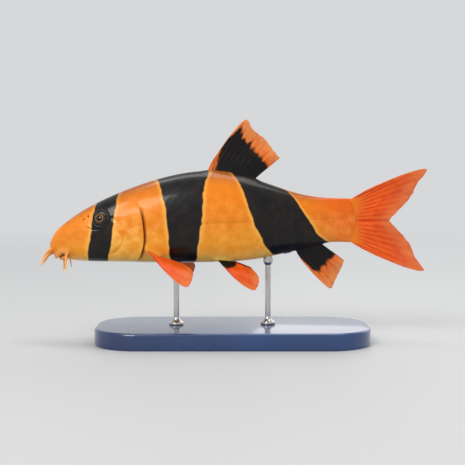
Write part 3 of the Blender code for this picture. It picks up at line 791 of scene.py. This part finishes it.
def buildFinMaterial(name, colours):
    finish, tree, shader = newMaterial(
        name, Coat_Weight=0.25, Coat_Roughness=0.2, Coat_IOR=1.33, Specular_IOR_Level=0.14, Subsurface_Weight=0.08,
        Subsurface_Radius=(1.0, 0.3, 0.1), Subsurface_Scale=0.0008,
    )
    share, run, ray = mark(tree, "share"), mark(tree, "run"), mark(tree, "ray")
    darkness, between, across = mark(tree, "dark"), mark(tree, "between"), mark(tree, "across")
    where = place(tree)
    alongRays = addNode(tree, "ShaderNodeCombineXYZ", {"X": across, "Y": calc(tree, "MULTIPLY", run, 0.22)}).outputs[0]
    streaks = noise(tree, alongRays, 0.75, detail=3.0)
    fine = noise(tree, where, 1500.0, detail=2.0)
    joints = useGroup(tree, jointGroup, Run=run, Length=0.85)
    colour = blendColour(tree, step(tree, share, 0.0, 0.3), colours["root"], colours["middle"])
    colour = blendColour(tree, step(tree, share, 0.62, 1.0), colour, colours["margin"])
    web = calc(tree, "MULTIPLY", between, 0.5)
    colour = blendColour(tree, web, colour, colours["margin"])
    rayColour = blendColour(tree, step(tree, share, 0.3, 1.0), colours["ray"], colours["middle"])
    rayColour = blendColour(tree, calc(tree, "MULTIPLY", joints["Line"], 0.35), rayColour, colours["margin"])
    rayShare = calc(tree, "MULTIPLY", calc(tree, "MULTIPLY", ray, 0.85), step(tree, share, -0.02, 0.2))
    colour = blendColour(tree, rayShare, colour, rayColour)
    deeper = calc(tree, "MULTIPLY", step(tree, streaks, 0.42, 0.72), step(tree, share, 0.02, 0.35))
    colour = blendColour(tree, calc(tree, "MULTIPLY", deeper, 0.5), colour, colours["ray"])
    specks = useGroup(tree, speckleGroup, Size=0.3, Density=0.4)
    colour = blendColour(tree, calc(tree, "MULTIPLY", specks["Mask"], 0.3), colour, colours["dark"])
    level = calc(tree, "ADD", darkness, calc(tree, "MULTIPLY", calc(tree, "SUBTRACT", streaks, 0.5), 0.9))
    shade = step(tree, level, 0.30, 0.66)
    dark = blendColour(tree, calc(tree, "MULTIPLY", ray, 0.8), colours["dark"], colours["darkRay"])
    colour = blendColour(tree, shade, colour, dark)
    put(tree, shader["Base Color"], colour)
    put(tree, shader["Roughness"], calc(tree, "MULTIPLY_ADD", fine, 0.2, 0.32))
    clear = calc(tree, "MULTIPLY", step(tree, share, 0.35, 1.0), calc(tree, "SUBTRACT", 1.0, ray))
    clear = calc(tree, "MULTIPLY", clear, calc(tree, "SUBTRACT", 1.0, shade))
    put(tree, shader["Alpha"], calc(tree, "MULTIPLY_ADD", clear, -0.26, 1.0))
    height = calc(tree, "MULTIPLY", calc(tree, "MULTIPLY", joints["Height"], ray), 0.8)
    height = calc(tree, "ADD", height, calc(tree, "MULTIPLY", fine, 0.4))
    setBump(tree, shader, height, 0.35, 0.00005)
    return finish


redFinFinish = buildFinMaterial("redFin", finColours["red"])
darkFinFinish = buildFinMaterial("darkFin", finColours["dark"])

finBuild = {
    "webRoot": 0.2, "webTip": 0.085, "webByRay": 0.05, "rootFlare": 0.55, "flareRun": 2.6,
    "crowding": 1.2, "rayHalfWidth": 0.32, "rayRoot": 0.37, "rayTip": 0.1, "sunk": 1.3,
    "columnsPerGap": 8, "rows": 46, "notch": 0.011, "tubeSides": 6, "seed": 11,
}


def darkOverBase(reach, softness):
    # darkness that covers the inner part of a fin
    return lambda u, v: ease(u, reach + softness, reach - softness)


def dorsalDark(u, v):
    # the band climbs the fin and leaves its front edge, tips and rear margin bright
    top = 0.86 - 0.30 * v
    return ease(u, top + 0.2, top - 0.2) * ease(v, -0.12, 0.12 + 0.25 * (1 - u.clip(0, 1)))


def noDark(u, v):
    return u * 0


# Each fin: where it grows, where its first and last rays aim, how far they reach in millimetres
# for places across it from 0 to 1, and how the sheet curls and waves.
finShapes = {
    "dorsal_fin": {
        "skin": ((84, 0), (109, 0)), "upright": (71, 40),
        "reach": ((0, 6), (0.07, 21), (0.14, 30.5), (0.25, 29.5), (0.5, 25), (0.8, 20), (1, 17)),
        "curl": (0.12, 0, -0.06), "wave": (0, 0.7, 0), "rays": 11, "span": 25.0, "hardRays": 3,
        "dark": dorsalDark, "slot": "dark_fin",
    },
    "anal_fin": {
        "skin": ((131, 180), (145, 180)), "upright": (-66, -36),
        "reach": ((0, 6), (0.1, 17), (0.2, 25.5), (0.32, 25.5), (0.6, 21), (1, 15)),
        "curl": (0.1, 0, 0.05), "wave": (0, 0.6, 0), "rays": 8, "span": 14.0, "hardRays": 3,
        "dark": darkOverBase(0.58, 0.22), "slot": "dark_fin",
    },
    "tail_fin_upper_lobe": {
        "stem": (32.7, 21.5), "upright": (33, 0),
        "reach": ((0, 10), (0.08, 28), (0.16, 43.5), (0.3, 41.5), (0.5, 35.5), (0.75, 27.5), (1, 21)),
        "curl": (0, 0, -0.05), "wave": (0, 0.8, 0), "rays": 10, "span": 11.0, "hardRays": 2,
        "dark": noDark, "slot": "red_fin",
    },
    "tail_fin_lower_lobe": {
        "stem": (10.3, 21.5), "upright": (-33, 0),
        "reach": ((0, 10), (0.08, 28), (0.16, 42.5), (0.3, 40.5), (0.5, 35), (0.75, 27.5), (1, 21)),
        "curl": (0, 0, 0.05), "wave": (0, 0.8, 0), "rays": 9, "span": 11.0, "hardRays": 2,
        "dark": noDark, "slot": "red_fin",
    },
    "pectoral_fin": {
        "skin": ((51.8, 122), (57.5, 141)), "aimed": ((0.52, -0.64, -0.56), (0.95, -0.22, -0.20)),
        "reach": ((0, 22), (0.1, 30), (0.25, 31), (0.6, 25), (1, 14)),
        "curl": (0.05, 0.10, -0.02), "wave": (0, 0, 0.5), "rays": 12, "span": 8.0, "hardRays": 1,
        "dark": noDark, "slot": "red_fin", "paired": True,
    },
    "pelvic_fin": {
        "skin": ((89, 155), (95, 164)), "aimed": ((0.58, -0.48, -0.66), (0.93, -0.16, -0.30)),
        "reach": ((0, 17), (0.12, 23), (0.28, 24), (0.6, 20.5), (1, 13)),
        "curl": (0.05, 0.08, 0), "wave": (0, 0, 0.4), "rays": 8, "span": 6.5, "hardRays": 1,
        "dark": darkOverBase(0.3, 0.16), "slot": "red_fin", "paired": True,
    },
}


def finRoot(fin, v):
    v = np.asarray(v, float)
    if "stem" in fin:
        first, last = fin["stem"]
        return np.stack([v * 0 + fishForm["bodyLength"] + gap, v * 0, first + (last - first) * v], axis=-1)
    (firstX, firstTurn), (lastX, lastTurn) = fin["skin"]
    x = firstX + (lastX - firstX) * v
    angle = np.radians(firstTurn + (lastTurn - firstTurn) * v)
    return bareBody(x, angle) + bodyNormal(x, angle) * gap


def rayAim(fin, v):
    v = np.asarray(v, float)[..., None]
    if "upright" in fin:
        first, last = fin["upright"]
        turn = np.radians(first + (last - first) * v)
        return np.concatenate([np.cos(turn), turn * 0, np.sin(turn)], axis=-1)
    first, last = np.array(fin["aimed"], float)
    return unit(first + (last - first) * v)


def rootInward(fin, v):
    # the way from the fin's root into the body
    v = np.asarray(v, float)
    if "stem" in fin:
        return np.stack([v * 0 - 1, v * 0, v * 0], axis=-1)
    (firstX, firstTurn), (lastX, lastTurn) = fin["skin"]
    return -bodyNormal(firstX + (lastX - firstX) * v, np.radians(firstTurn + (lastTurn - firstTurn) * v))


def finMiddle(fin, u, v):
    # the middle of the fin's sheet, u along the rays and v across them; below 0 it is sunk in the body
    u, v = np.broadcast_arrays(np.asarray(u, float), np.asarray(v, float))
    reach = smoothLine(fin["reach"])(v)[..., None]
    run = u.clip(0)[..., None]
    sunk = -u.clip(None, 0)[..., None]
    curl = np.array(fin["curl"]) * run**2 * (1 - v[..., None])
    wave = np.array(fin["wave"]) * run * np.sin(2 * math.pi * (1.3 * v[..., None] - 0.5 * run))
    return finRoot(fin, v) + reach * (run * rayAim(fin, v) + curl + sunk * rootInward(fin, v)) + wave


def rayPaths(fin, crests, margin):
    # polylines of the rays: (u, v, radius) along each, soft rays forking twice towards the edge
    b = finBuild
    paths = []
    lastPlace = 1 - 0.4 * b["rayHalfWidth"] / fin["span"]
    steps = np.diff(crests)
    reachLine = smoothLine(fin["reach"])
    for i, v in enumerate(crests):
        room = steps[max(i - 1, 0)] if i == len(crests) - 1 else steps[i]
        if i:
            room = min(room, steps[i - 1])
        root = -b["sunk"] / reachLine(v)
        soft = i >= fin["hardRays"]
        thickness = b["rayRoot"] * (1.0 if soft else 1.12)
        if not soft:
            u = np.linspace(root, 1.0, 40)
            paths.append((u, u * 0 + v, thickness * (1 - 0.72 * u.clip(0, 1) ** 1.3)))
            continue
        u = np.linspace(root, 0.41, 18)
        paths.append((u, u * 0 + v, thickness * (1 - 0.42 * u.clip(0, 1))))
        for side in (-1, 1):
            first = 0.23 * side * room
            u = np.linspace(0.395, 0.69, 14)
            spread = first * ease(u, 0.395, 0.58)
            paths.append((u, np.minimum(v + spread, lastPlace), thickness * (0.62 - 0.25 * (u - 0.4))))
            for twin in (-1, 1):
                second = 0.115 * twin * room
                end = margin(min(v + first + second, lastPlace))
                u = np.linspace(0.675, end, 16)
                spread = first + second * ease(u, 0.675, 0.84)
                taper = 0.44 - 0.55 * (u - 0.68)
                across = np.minimum(v + spread, lastPlace)
                paths.append((u, across, np.maximum(thickness * taper, b["rayTip"])))
    return paths


def buildFin(name, fin, mirror, finish):
    b = finBuild
    random = np.random.default_rng(b["seed"])
    wide = b["rayHalfWidth"] / fin["span"]
    crests = wide + (1 - 2 * wide) * np.linspace(0, 1, fin["rays"]) ** b["crowding"]
    depth = b["notch"] * (0.6 + 0.9 * random.random(fin["rays"] - 1))
    fraction = np.linspace(0, 1, b["columnsPerGap"] + 1)[:-1]
    v = np.concatenate([[0.0], *[a + (c - a) * fraction for a, c in zip(crests, crests[1:])], [crests[-1], 1.0]])

    def gapShare(v):
        # which gap between rays a place lies in, and how far it lies from its rays
        i = np.clip(np.searchsorted(crests, v, side="right") - 1, 0, len(crests) - 2)
        share = np.clip((v - crests[i]) / (crests[i + 1] - crests[i]), 0, 1)
        return i, np.sin(math.pi * share)

    def margin(v):
        i, between = gapShare(v)
        return 1.0 - depth[i] * between

    _, between = gapShare(v)
    reach = smoothLine(fin["reach"])(v)
    rows = np.linspace(0, 1, b["rows"])[:, None]
    u = rows * margin(v)
    sunk = np.array([[-1.0], [-0.5]]) * b["sunk"] / reach
    u = np.concatenate([sunk, u])
    d = 0.004
    middle = finMiddle(fin, u, v)
    flat = u.clip(d)
    along = finMiddle(fin, flat + d, v) - finMiddle(fin, flat - d, v)
    over = finMiddle(fin, flat, v + d) - finMiddle(fin, flat, v - d)
    facing = unit(np.cross(along, over))
    run = u * reach
    inner = u.clip(0, 1)
    half = b["webTip"] + (b["webRoot"] - b["webTip"]) * (1 - inner**2)
    half = half + b["webByRay"] * (1 - between) * (1 - 0.7 * inner) + b["rootFlare"] * np.exp(-run.clip(0) / b["flareRun"])
    half[-1] *= 0.4
    half[:, [0, -1]] *= 0.55
    sheets = [middle + side * facing * half[..., None] for side in (1, -1)]
    height, width = half.shape
    count = height * width
    faces = gridFaces(height, width)
    faces += [face[::-1] for face in gridFaces(height, width, start=count)]
    rim = [(0, j) for j in range(width)] + [(i, width - 1) for i in range(1, height)]
    rim += [(height - 1, j) for j in range(width - 2, -1, -1)] + [(i, 0) for i in range(height - 2, 0, -1)]
    edge = [i * width + j for i, j in rim]
    for a, c in zip(edge, edge[1:] + edge[:1]):
        faces.append((a, a + count, c + count, c))
    paths = rayPaths(fin, crests, margin)
    points = [sheet.reshape(-1, 3) for sheet in sheets]
    marks = {
        "share": [u.ravel()] * 2, "run": [run.ravel()] * 2, "between": [np.tile(between, height)] * 2,
        "dark": [fin["dark"](u, v + u * 0).ravel()] * 2, "across": [np.tile(v * fin["span"], height)] * 2,
        "ray": [np.zeros(count)] * 2, "thick": [np.zeros(count)] * 2,
    }
    edges = []
    total = 2 * count
    for rayU, rayV, radius in paths:
        points.append(finMiddle(fin, rayU, rayV))
        reachHere = smoothLine(fin["reach"])(rayV)
        values = {
            "share": rayU, "run": rayU * reachHere, "between": rayU * 0, "dark": fin["dark"](rayU, rayV),
            "across": rayV * fin["span"], "ray": rayU * 0 + 1, "thick": radius * mm,
        }
        for key, value in values.items():
            marks[key].append(value)
        edges += [(total + k, total + k + 1) for k in range(len(rayU) - 1)]
        total += len(rayU)
    points = placed(mirrored(np.concatenate(points), mirror))
    marks = {key: np.concatenate(values) for key, values in marks.items()}
    web = makePiece(name, points, faces, None, marks, edges)
    orientWeb(web, count)
    return applyTree(web, tubeTree, Sides=b["tubeSides"], Finish=finish)


def orientWeb(web, count):
    # turns the closed web right side out by the sign of its volume
    mesh = web.data
    points = np.empty(len(mesh.vertices) * 3)
    mesh.vertices.foreach_get("co", points)
    points = points.reshape(-1, 3)
    volume = 0.0
    for polygon in mesh.polygons:
        corners = points[list(polygon.vertices)]
        for second, third in zip(corners[1:-1], corners[2:]):
            volume += np.dot(corners[0], np.cross(second, third))
    if volume < 0:
        mesh.flip_normals()


for name, fin in finShapes.items():
    finish = redFinFinish if fin["slot"] == "red_fin" else darkFinFinish
    for side, mirror in (("_left", 1), ("_right", -1)) if fin.get("paired") else (("", 1),):
        piece = buildFin(f"{name}{side}_web", fin, mirror, finish)
        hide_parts(f"{name}{side}")
        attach(piece, "root")
print("fins done")

feelerColours = {"root": (0.76, 0.24, 0.022), "middle": (0.84, 0.33, 0.06), "tip": (0.90, 0.50, 0.18)}


def buildFeelerMaterial():
    finish, tree, shader = newMaterial(
        "feelerSkin", Coat_Weight=0.4, Coat_Roughness=0.15, Coat_IOR=1.33, Subsurface_Weight=0.2,
        Subsurface_Radius=(1.0, 0.4, 0.15), Subsurface_Scale=0.001,
    )
    share, run = mark(tree, "share"), mark(tree, "run")
    patches = noise(tree, place(tree), 500.0, detail=3.0)
    colour = blendColour(tree, step(tree, share, 0.0, 0.4), feelerColours["root"], feelerColours["middle"])
    colour = blendColour(tree, step(tree, share, 0.4, 1.0), colour, feelerColours["tip"])
    rings = useGroup(tree, jointGroup, Run=run, Length=0.55)
    colour = blendColour(tree, calc(tree, "MULTIPLY", rings["Line"], 0.12), colour, feelerColours["root"])
    specks = useGroup(tree, speckleGroup, Size=0.3, Density=0.45)
    colour = blendColour(tree, calc(tree, "MULTIPLY", specks["Mask"], 0.35), colour, skinColours["speck"])
    put(tree, shader["Base Color"], colour)
    put(tree, shader["Roughness"], calc(tree, "MULTIPLY_ADD", patches, 0.2, 0.3))
    setBump(tree, shader, calc(tree, "ADD", rings["Height"], calc(tree, "MULTIPLY", patches, 2.0)), 0.2, 0.00004)
    return finish


feelerFinish = buildFeelerMaterial()

barbelBuild = {"tipRadius": 0.22, "points": 90, "sides": 18, "sunk": 1.1, "flare": 0.3, "flareRun": 1.1, "ringStep": 0.55}


def buildBarbel(name, x, degrees, length, radius, aim, mirror):
    b = barbelBuild
    angle = math.radians(degrees)
    outward = bodyNormal(x, angle)
    point = bareBody(x, angle)
    relief, *_ = skinRelief(np.array([x]), np.array([angle]), point[None])
    root = point + outward * (relief[0] + gap)
    knee = root + outward * length * 0.28
    tip = knee + unit(np.array(aim)) * length * 0.78
    share = np.linspace(0, 1, b["points"])[:, None]
    path = (1 - share) ** 2 * root + 2 * share * (1 - share) * knee + share**2 * tip
    start = root - outward * b["sunk"]
    path = np.concatenate([start + (root - start) * np.linspace(0, 1, 6)[:-1, None], path])
    run = np.concatenate([[0], np.cumsum(np.linalg.norm(np.diff(path, axis=0), axis=1))]) - b["sunk"]
    share = (run / run[-1]).clip(0, 1)
    thickness = radius + (b["tipRadius"] - radius) * share**0.8
    thickness = thickness * (1 + 0.014 * np.sin(run * 2 * math.pi / b["ringStep"]))
    thickness = thickness + b["flare"] * np.exp(-run.clip(0) / b["flareRun"])
    thickness = thickness * np.sqrt(1 - ((share - 0.955) / 0.0455).clip(0, 1) ** 2).clip(0.05)
    edges = [(k, k + 1) for k in range(len(path) - 1)]
    marks = {"share": share, "run": run, "ray": share * 0 + 1, "thick": thickness * mm}
    barbel = makePiece(name, placed(mirrored(path, mirror)), [], None, marks, edges)
    return applyTree(barbel, tubeTree, Sides=b["sides"], Finish=feelerFinish)


for side, mirror in (("left", 1), ("right", -1)):
    for name, *sizes in barbelPlaces:
        piece = buildBarbel(f"{name}_{side}_feeler", *sizes, mirror)
        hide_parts(f"{name}_{side}")
        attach(piece, "root")
print("feelers done")

eyeForm = {
    "rings": 64, "segments": 96, "pupil": 0.5, "ring": 0.055, "corneaRise": 0.22, "pupilForward": 0.05,
}
eyeColours = {
    "pupil": (0.0008, 0.0008, 0.001), "ring": (0.60, 0.25, 0.03), "iris": (0.060, 0.017, 0.004),
    "irisDark": (0.007, 0.003, 0.002), "edge": (0.002, 0.0018, 0.0018),
}


def buildEyeMaterial():
    finish, tree, shader = newMaterial(
        "loachEye", Coat_Weight=1.0, Coat_Roughness=0.02, Coat_IOR=1.36, Specular_IOR_Level=0.15,
    )
    c = eyeColours
    radial, turn = mark(tree, "radial"), mark(tree, "turn")
    wide = calc(tree, "MULTIPLY", turn, 14.0)
    polar = addNode(tree, "ShaderNodeCombineXYZ", {"X": wide, "Y": calc(tree, "MULTIPLY", radial, 2.2)}).outputs[0]
    streaks = noise(tree, polar, 3.0, detail=4.0)
    flecks = noise(tree, place(tree), 1800.0, detail=3.0)
    edge = eyeForm["pupil"]
    colour = blendColour(tree, step(tree, streaks, 0.35, 0.68), c["irisDark"], c["iris"])
    colour = blendColour(tree, calc(tree, "MULTIPLY", step(tree, flecks, 0.55, 0.75), 0.5), colour, c["ring"])
    colour = blendColour(tree, step(tree, radial, 0.74, 0.98), colour, c["edge"])
    uneven = calc(tree, "ADD", radial, calc(tree, "MULTIPLY", calc(tree, "SUBTRACT", streaks, 0.5), 0.05))
    ring = calc(tree, "MULTIPLY", step(tree, uneven, edge - 0.01, edge + 0.012),
                step(tree, uneven, edge + 2 * eyeForm["ring"], edge + 0.4 * eyeForm["ring"]))
    colour = blendColour(tree, ring, colour, c["ring"])
    pupil = step(tree, radial, edge + 0.012, edge - 0.012)
    colour = blendColour(tree, pupil, colour, c["pupil"])
    put(tree, shader["Base Color"], colour)
    put(tree, shader["Metallic"], calc(tree, "MULTIPLY", ring, 0.7))
    put(tree, shader["Roughness"], calc(tree, "MULTIPLY_ADD", streaks, 0.15, 0.2))
    setBump(tree, shader, calc(tree, "MULTIPLY", streaks, calc(tree, "SUBTRACT", 1.0, pupil)), 0.25, 0.00008)
    return finish


eyeFinish = buildEyeMaterial()


def buildEye(name, mirror):
    e, h = eyeForm, headForm
    outward = bodyNormal(h["eyeX"], h["eyeAngle"])
    centre = bareBody(h["eyeX"], h["eyeAngle"]) - outward * h["eyeSink"]
    forward = unit(np.array([-1.0, 0, 0]) + outward * outward[0])
    upward = unit(np.cross(forward, outward))
    theta = np.linspace(0, math.pi, e["rings"] + 2)[1:-1, None]
    phi = np.linspace(0, 2 * math.pi, e["segments"], endpoint=False)[None]
    flat = h["eyeRadius"] * np.sin(theta)
    deep = h["eyeDepth"] * np.cos(theta) + e["corneaRise"] * hump(flat, 1.7) * (theta < 1.5)
    points = centre + outward * (deep + 0 * phi)[..., None]
    points = points + flat[..., None] * (forward * np.cos(phi)[..., None] + upward * np.sin(phi)[..., None])
    across = flat * np.cos(phi) - e["pupilForward"] * h["eyeRadius"]
    high = flat * np.sin(phi)
    radial = np.hypot(across, high * 1.03) / h["orbitRadius"]
    radial = np.where(theta > 1.4, 1.0, radial)
    turn = np.abs(phi / math.pi - 1) + 0 * theta
    poles = [centre + outward * (h["eyeDepth"] + e["corneaRise"]), centre - outward * h["eyeDepth"]]
    rings, segments = radial.shape
    faces = gridFaces(rings, segments, closed=True)
    top, under = rings * segments, rings * segments + 1
    for j in range(segments):
        k = (j + 1) % segments
        faces.append((top, k, j))
        faces.append((under, (rings - 1) * segments + j, (rings - 1) * segments + k))
    allPoints = placed(mirrored(np.concatenate([points.reshape(-1, 3), poles]), mirror))
    marks = {"radial": np.append(radial.ravel(), [0, 1]), "turn": np.append(turn.ravel(), [0.5, 0.5])}
    return faceOut(makePiece(name, allPoints, faces, eyeFinish, marks))


for side, mirror in (("left", 1), ("right", -1)):
    piece = buildEye(f"eye_{side}_ball", mirror)
    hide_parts(f"eye_{side}")
    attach(piece, "root")
print("eyes done")

standForm = {
    "baseSize": (146.0, 62.0, 9.0), "corner": 24.0, "edge": 1.6, "underEdge": 0.5,
    "rods": (("stand_rod_front", 67.0), ("stand_rod_rear", 116.0)),
    "rodRadius": 1.5, "padRadius": 2.6, "footRadius": 4.0, "footHeight": 4.4, "padHeight": 4.5, "rodSides": 64,
}
standColours = {
    "lacquer": (0.004, 0.042, 0.165), "lacquerDeep": (0.002, 0.020, 0.095), "dust": (0.35, 0.40, 0.46),
    "steel": (0.64, 0.63, 0.61), "steelDark": (0.52, 0.51, 0.50),
}


def buildLacquerMaterial():
    finish, tree, shader = newMaterial("blueLacquer", Coat_Roughness=0.08)
    c = standColours
    where = place(tree)
    clouds = noise(tree, where, 22.0, detail=4.0)
    peel = noise(tree, where, 1400.0, detail=1.0)
    colour = blendColour(tree, step(tree, clouds, 0.3, 0.7), c["lacquerDeep"], c["lacquer"])
    dust = useGroup(tree, speckleGroup, Size=0.5, Density=0.25)
    colour = blendColour(tree, calc(tree, "MULTIPLY", dust["Mask"], 0.05), colour, c["dust"])
    put(tree, shader["Base Color"], colour)
    put(tree, shader["Roughness"], calc(tree, "MULTIPLY_ADD", clouds, 0.14, 0.20))
    put(tree, shader["Coat Weight"], calc(tree, "MULTIPLY_ADD", clouds, -0.15, 0.85))
    setBump(tree, shader, peel, 0.10, 0.00003)
    return finish


def buildSteelMaterial():
    finish, tree, shader = newMaterial("brushedSteel", Metallic=1.0)
    c = standColours
    where = place(tree)
    rings = noise(tree, where, 1.0, detail=4.0, roughness=0.7, stretch=(300.0, 300.0, 9000.0))
    broad = noise(tree, where, 90.0, detail=3.0)
    colour = blendColour(tree, step(tree, rings, 0.3, 0.75), c["steelDark"], c["steel"])
    put(tree, shader["Base Color"], colour)
    rough = calc(tree, "MULTIPLY_ADD", rings, 0.10, 0.10)
    put(tree, shader["Roughness"], calc(tree, "MULTIPLY_ADD", broad, 0.10, rough))
    setBump(tree, shader, rings, 0.03, 0.00001)
    return finish


lacquerFinish = buildLacquerMaterial()
steelFinish = buildSteelMaterial()


def buildBase():
    s = standForm
    shape = bmesh.new()
    bmesh.ops.create_cube(shape, size=1)
    bmesh.ops.scale(shape, vec=[side * mm for side in s["baseSize"]], verts=shape.verts)
    bmesh.ops.translate(shape, vec=(0, 0, s["baseSize"][2] * mm / 2), verts=shape.verts)
    corners = [e for e in shape.edges if abs(e.verts[0].co.z - e.verts[1].co.z) > mm]
    bmesh.ops.bevel(shape, geom=corners, offset=s["corner"] * mm, segments=28, profile=0.5, affect="EDGES")
    top = [e for e in shape.edges if min(v.co.z for v in e.verts) > (s["baseSize"][2] - 0.01) * mm]
    bmesh.ops.bevel(shape, geom=top, offset=s["edge"] * mm, segments=8, profile=0.5, affect="EDGES")
    under = [e for e in shape.edges if max(v.co.z for v in e.verts) < 0.01 * mm]
    bmesh.ops.bevel(shape, geom=under, offset=s["underEdge"] * mm, segments=3, profile=0.5, affect="EDGES")
    mesh = bpy.data.meshes.new("display_base")
    shape.to_mesh(mesh)
    shape.free()
    mesh.materials.append(lacquerFinish)
    mesh.shade_smooth()
    mesh.set_sharp_from_angle(angle=math.radians(30))
    base = bpy.data.objects.new("display_base", mesh)
    bpy.context.scene.collection.objects.link(base)
    return base


def bellyUnder(x, y):
    narrow = (np.abs(y) / halfWidth(x)) ** (1 / bellySharpness(x))
    return axisHeight(x) - (axisHeight(x) - belly(x)) * np.sqrt(1 - narrow**2)


def buildRod(name, x):
    # a turned rod whose foot stands on the base and whose pad fits the belly
    s = standForm
    baseTop = s["baseSize"][2] - fishForm["bellyHeight"]
    padTop = float(belly(x))
    foot, radius, pad = s["footRadius"], s["rodRadius"], s["padRadius"]
    t = np.linspace(0, 1, 9)
    profile = [(foot - 0.35, baseTop - 0.02), (foot - 0.1, baseTop + 0.12), (foot, baseTop + 0.4)]
    profile += [(foot, baseTop + 1.2), (foot - 0.08, baseTop + 1.42), (foot - 0.3, baseTop + 1.6)]
    flare = radius + (0.8 * foot - radius) * (1 - np.sin(t * math.pi / 2))
    profile += [(r, baseTop + 1.75 + 2.65 * k) for r, k in zip(flare, t)]
    profile += [(radius, z) for z in np.linspace(baseTop + 4.6, padTop - s["padHeight"], 24)]
    grow = radius + (pad - radius) * np.sin(t * math.pi / 2) ** 1.3
    profile += [(r, padTop - s["padHeight"] + 0.1 + 2.1 * k) for r, k in zip(grow[1:], t[1:])]
    turn = np.linspace(0, 2 * math.pi, s["rodSides"], endpoint=False)
    rings = [np.stack([x + r * np.cos(turn), r * np.sin(turn), turn * 0 + z], axis=-1) for r, z in profile]
    for share, inset in ((0.0, 0.0), (0.5, 0.0), (0.85, 0.08), (1.0, 0.3)):
        ring = rings[len(profile) - 1].copy()
        ring[:, :2] = (x, 0) + (ring[:, :2] - (x, 0)) * (1 - inset / pad)
        top = bellyUnder(ring[:, 0], ring[:, 1]) + 0.1
        ring[:, 2] += 0.02 + (top - ring[:, 2] - 0.02) * share
        rings.append(ring)
    ends = [(x, 0, baseTop - 0.02), (x, 0, float(bellyUnder(x, 0.0)) + 0.1)]
    rows, sides = len(rings), s["rodSides"]
    faces = gridFaces(rows, sides, closed=True)
    for j in range(sides):
        k = (j + 1) % sides
        faces.append((rows * sides, k, j))
        faces.append((rows * sides + 1, (rows - 1) * sides + j, (rows - 1) * sides + k))
    points = np.concatenate([np.concatenate(rings), ends])
    return faceOut(makePiece(name, placed(points), faces, steelFinish))


base = buildBase()
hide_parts("stand_base")
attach(base, "root")
for name, x in standForm["rods"]:
    piece = buildRod(f"{name}_turned", x)
    piece.data.set_sharp_from_angle(angle=math.radians(40))
    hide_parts(name)
    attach(piece, "root")
print("stand done")

stageForm = {
    "floorRadius": 1.4, "fadeStart": 0.18, "fadeEnd": 1.0, "floorColour": (0.50, 0.505, 0.51),
    "worldColour": (0.81, 0.825, 0.84), "worldStrength": 0.83,
    "cameraDistance": 0.585, "cameraElevation": 4.0, "target": (0.0, 0.0, 0.0585), "lens": 85.0,
}
lightPlaces = (  # name, place, size, watts, colour
    ("keyLight", (-0.42, -0.70, 0.72), (0.45, 0.35), 5.6, (1.0, 0.97, 0.93)),
    ("topLight", (0.05, 0.10, 0.85), (0.9, 0.22), 3.0, (1.0, 1.0, 1.0)),
    ("rimLight", (0.45, 0.75, 0.50), (1.1, 0.7), 2.2, (1.0, 0.98, 0.95)),
)


def buildStage():
    s = stageForm
    shape = bmesh.new()
    bmesh.ops.create_circle(shape, cap_ends=True, segments=96, radius=s["floorRadius"])
    mesh = bpy.data.meshes.new("studio_floor")
    shape.to_mesh(mesh)
    shape.free()
    finish, tree, shader = newMaterial("paleFloor", Specular_IOR_Level=0.25, Roughness=0.55)
    where = place(tree)
    away = addNode(tree, "ShaderNodeVectorMath", {0: where}, operation="LENGTH").outputs["Value"]
    put(tree, shader["Alpha"], step(tree, away, s["fadeEnd"], s["fadeStart"]))
    shader["Base Color"].default_value = (*s["floorColour"], 1)
    mesh.materials.append(finish)
    floor = bpy.data.objects.new("studio_floor", mesh)
    bpy.context.scene.collection.objects.link(floor)
    world = bpy.data.worlds.new("paleStudio")
    world.use_nodes = True
    background = world.node_tree.nodes["Background"]
    background.inputs["Color"].default_value = (*s["worldColour"], 1)
    background.inputs["Strength"].default_value = s["worldStrength"]
    bpy.context.scene.world = world
    bpy.context.scene.view_settings.view_transform = "Standard"


def aimAt(thing, target):
    thing.rotation_euler = (Vector(target) - thing.location).to_track_quat("-Z", "Y").to_euler()


def buildLights():
    for name, where, size, watts, colour in lightPlaces:
        light = bpy.data.lights.new(name, "AREA")
        light.shape = "RECTANGLE"
        light.size, light.size_y = size
        light.energy = watts
        light.color = colour
        lamp = bpy.data.objects.new(name, light)
        lamp.location = where
        aimAt(lamp, (0, 0, 0.06))
        bpy.context.scene.collection.objects.link(lamp)


def buildCamera():
    s = stageForm
    camera = bpy.data.objects.new("sideCamera", bpy.data.cameras.new("sideCamera"))
    camera.data.lens = s["lens"]
    rise = math.radians(s["cameraElevation"])
    target = Vector(s["target"])
    camera.location = target + s["cameraDistance"] * Vector((0, -math.cos(rise), math.sin(rise)))
    aimAt(camera, target)
    bpy.context.scene.collection.objects.link(camera)
    bpy.context.scene.camera = camera


buildStage()
buildLights()
buildCamera()
print("stage done")
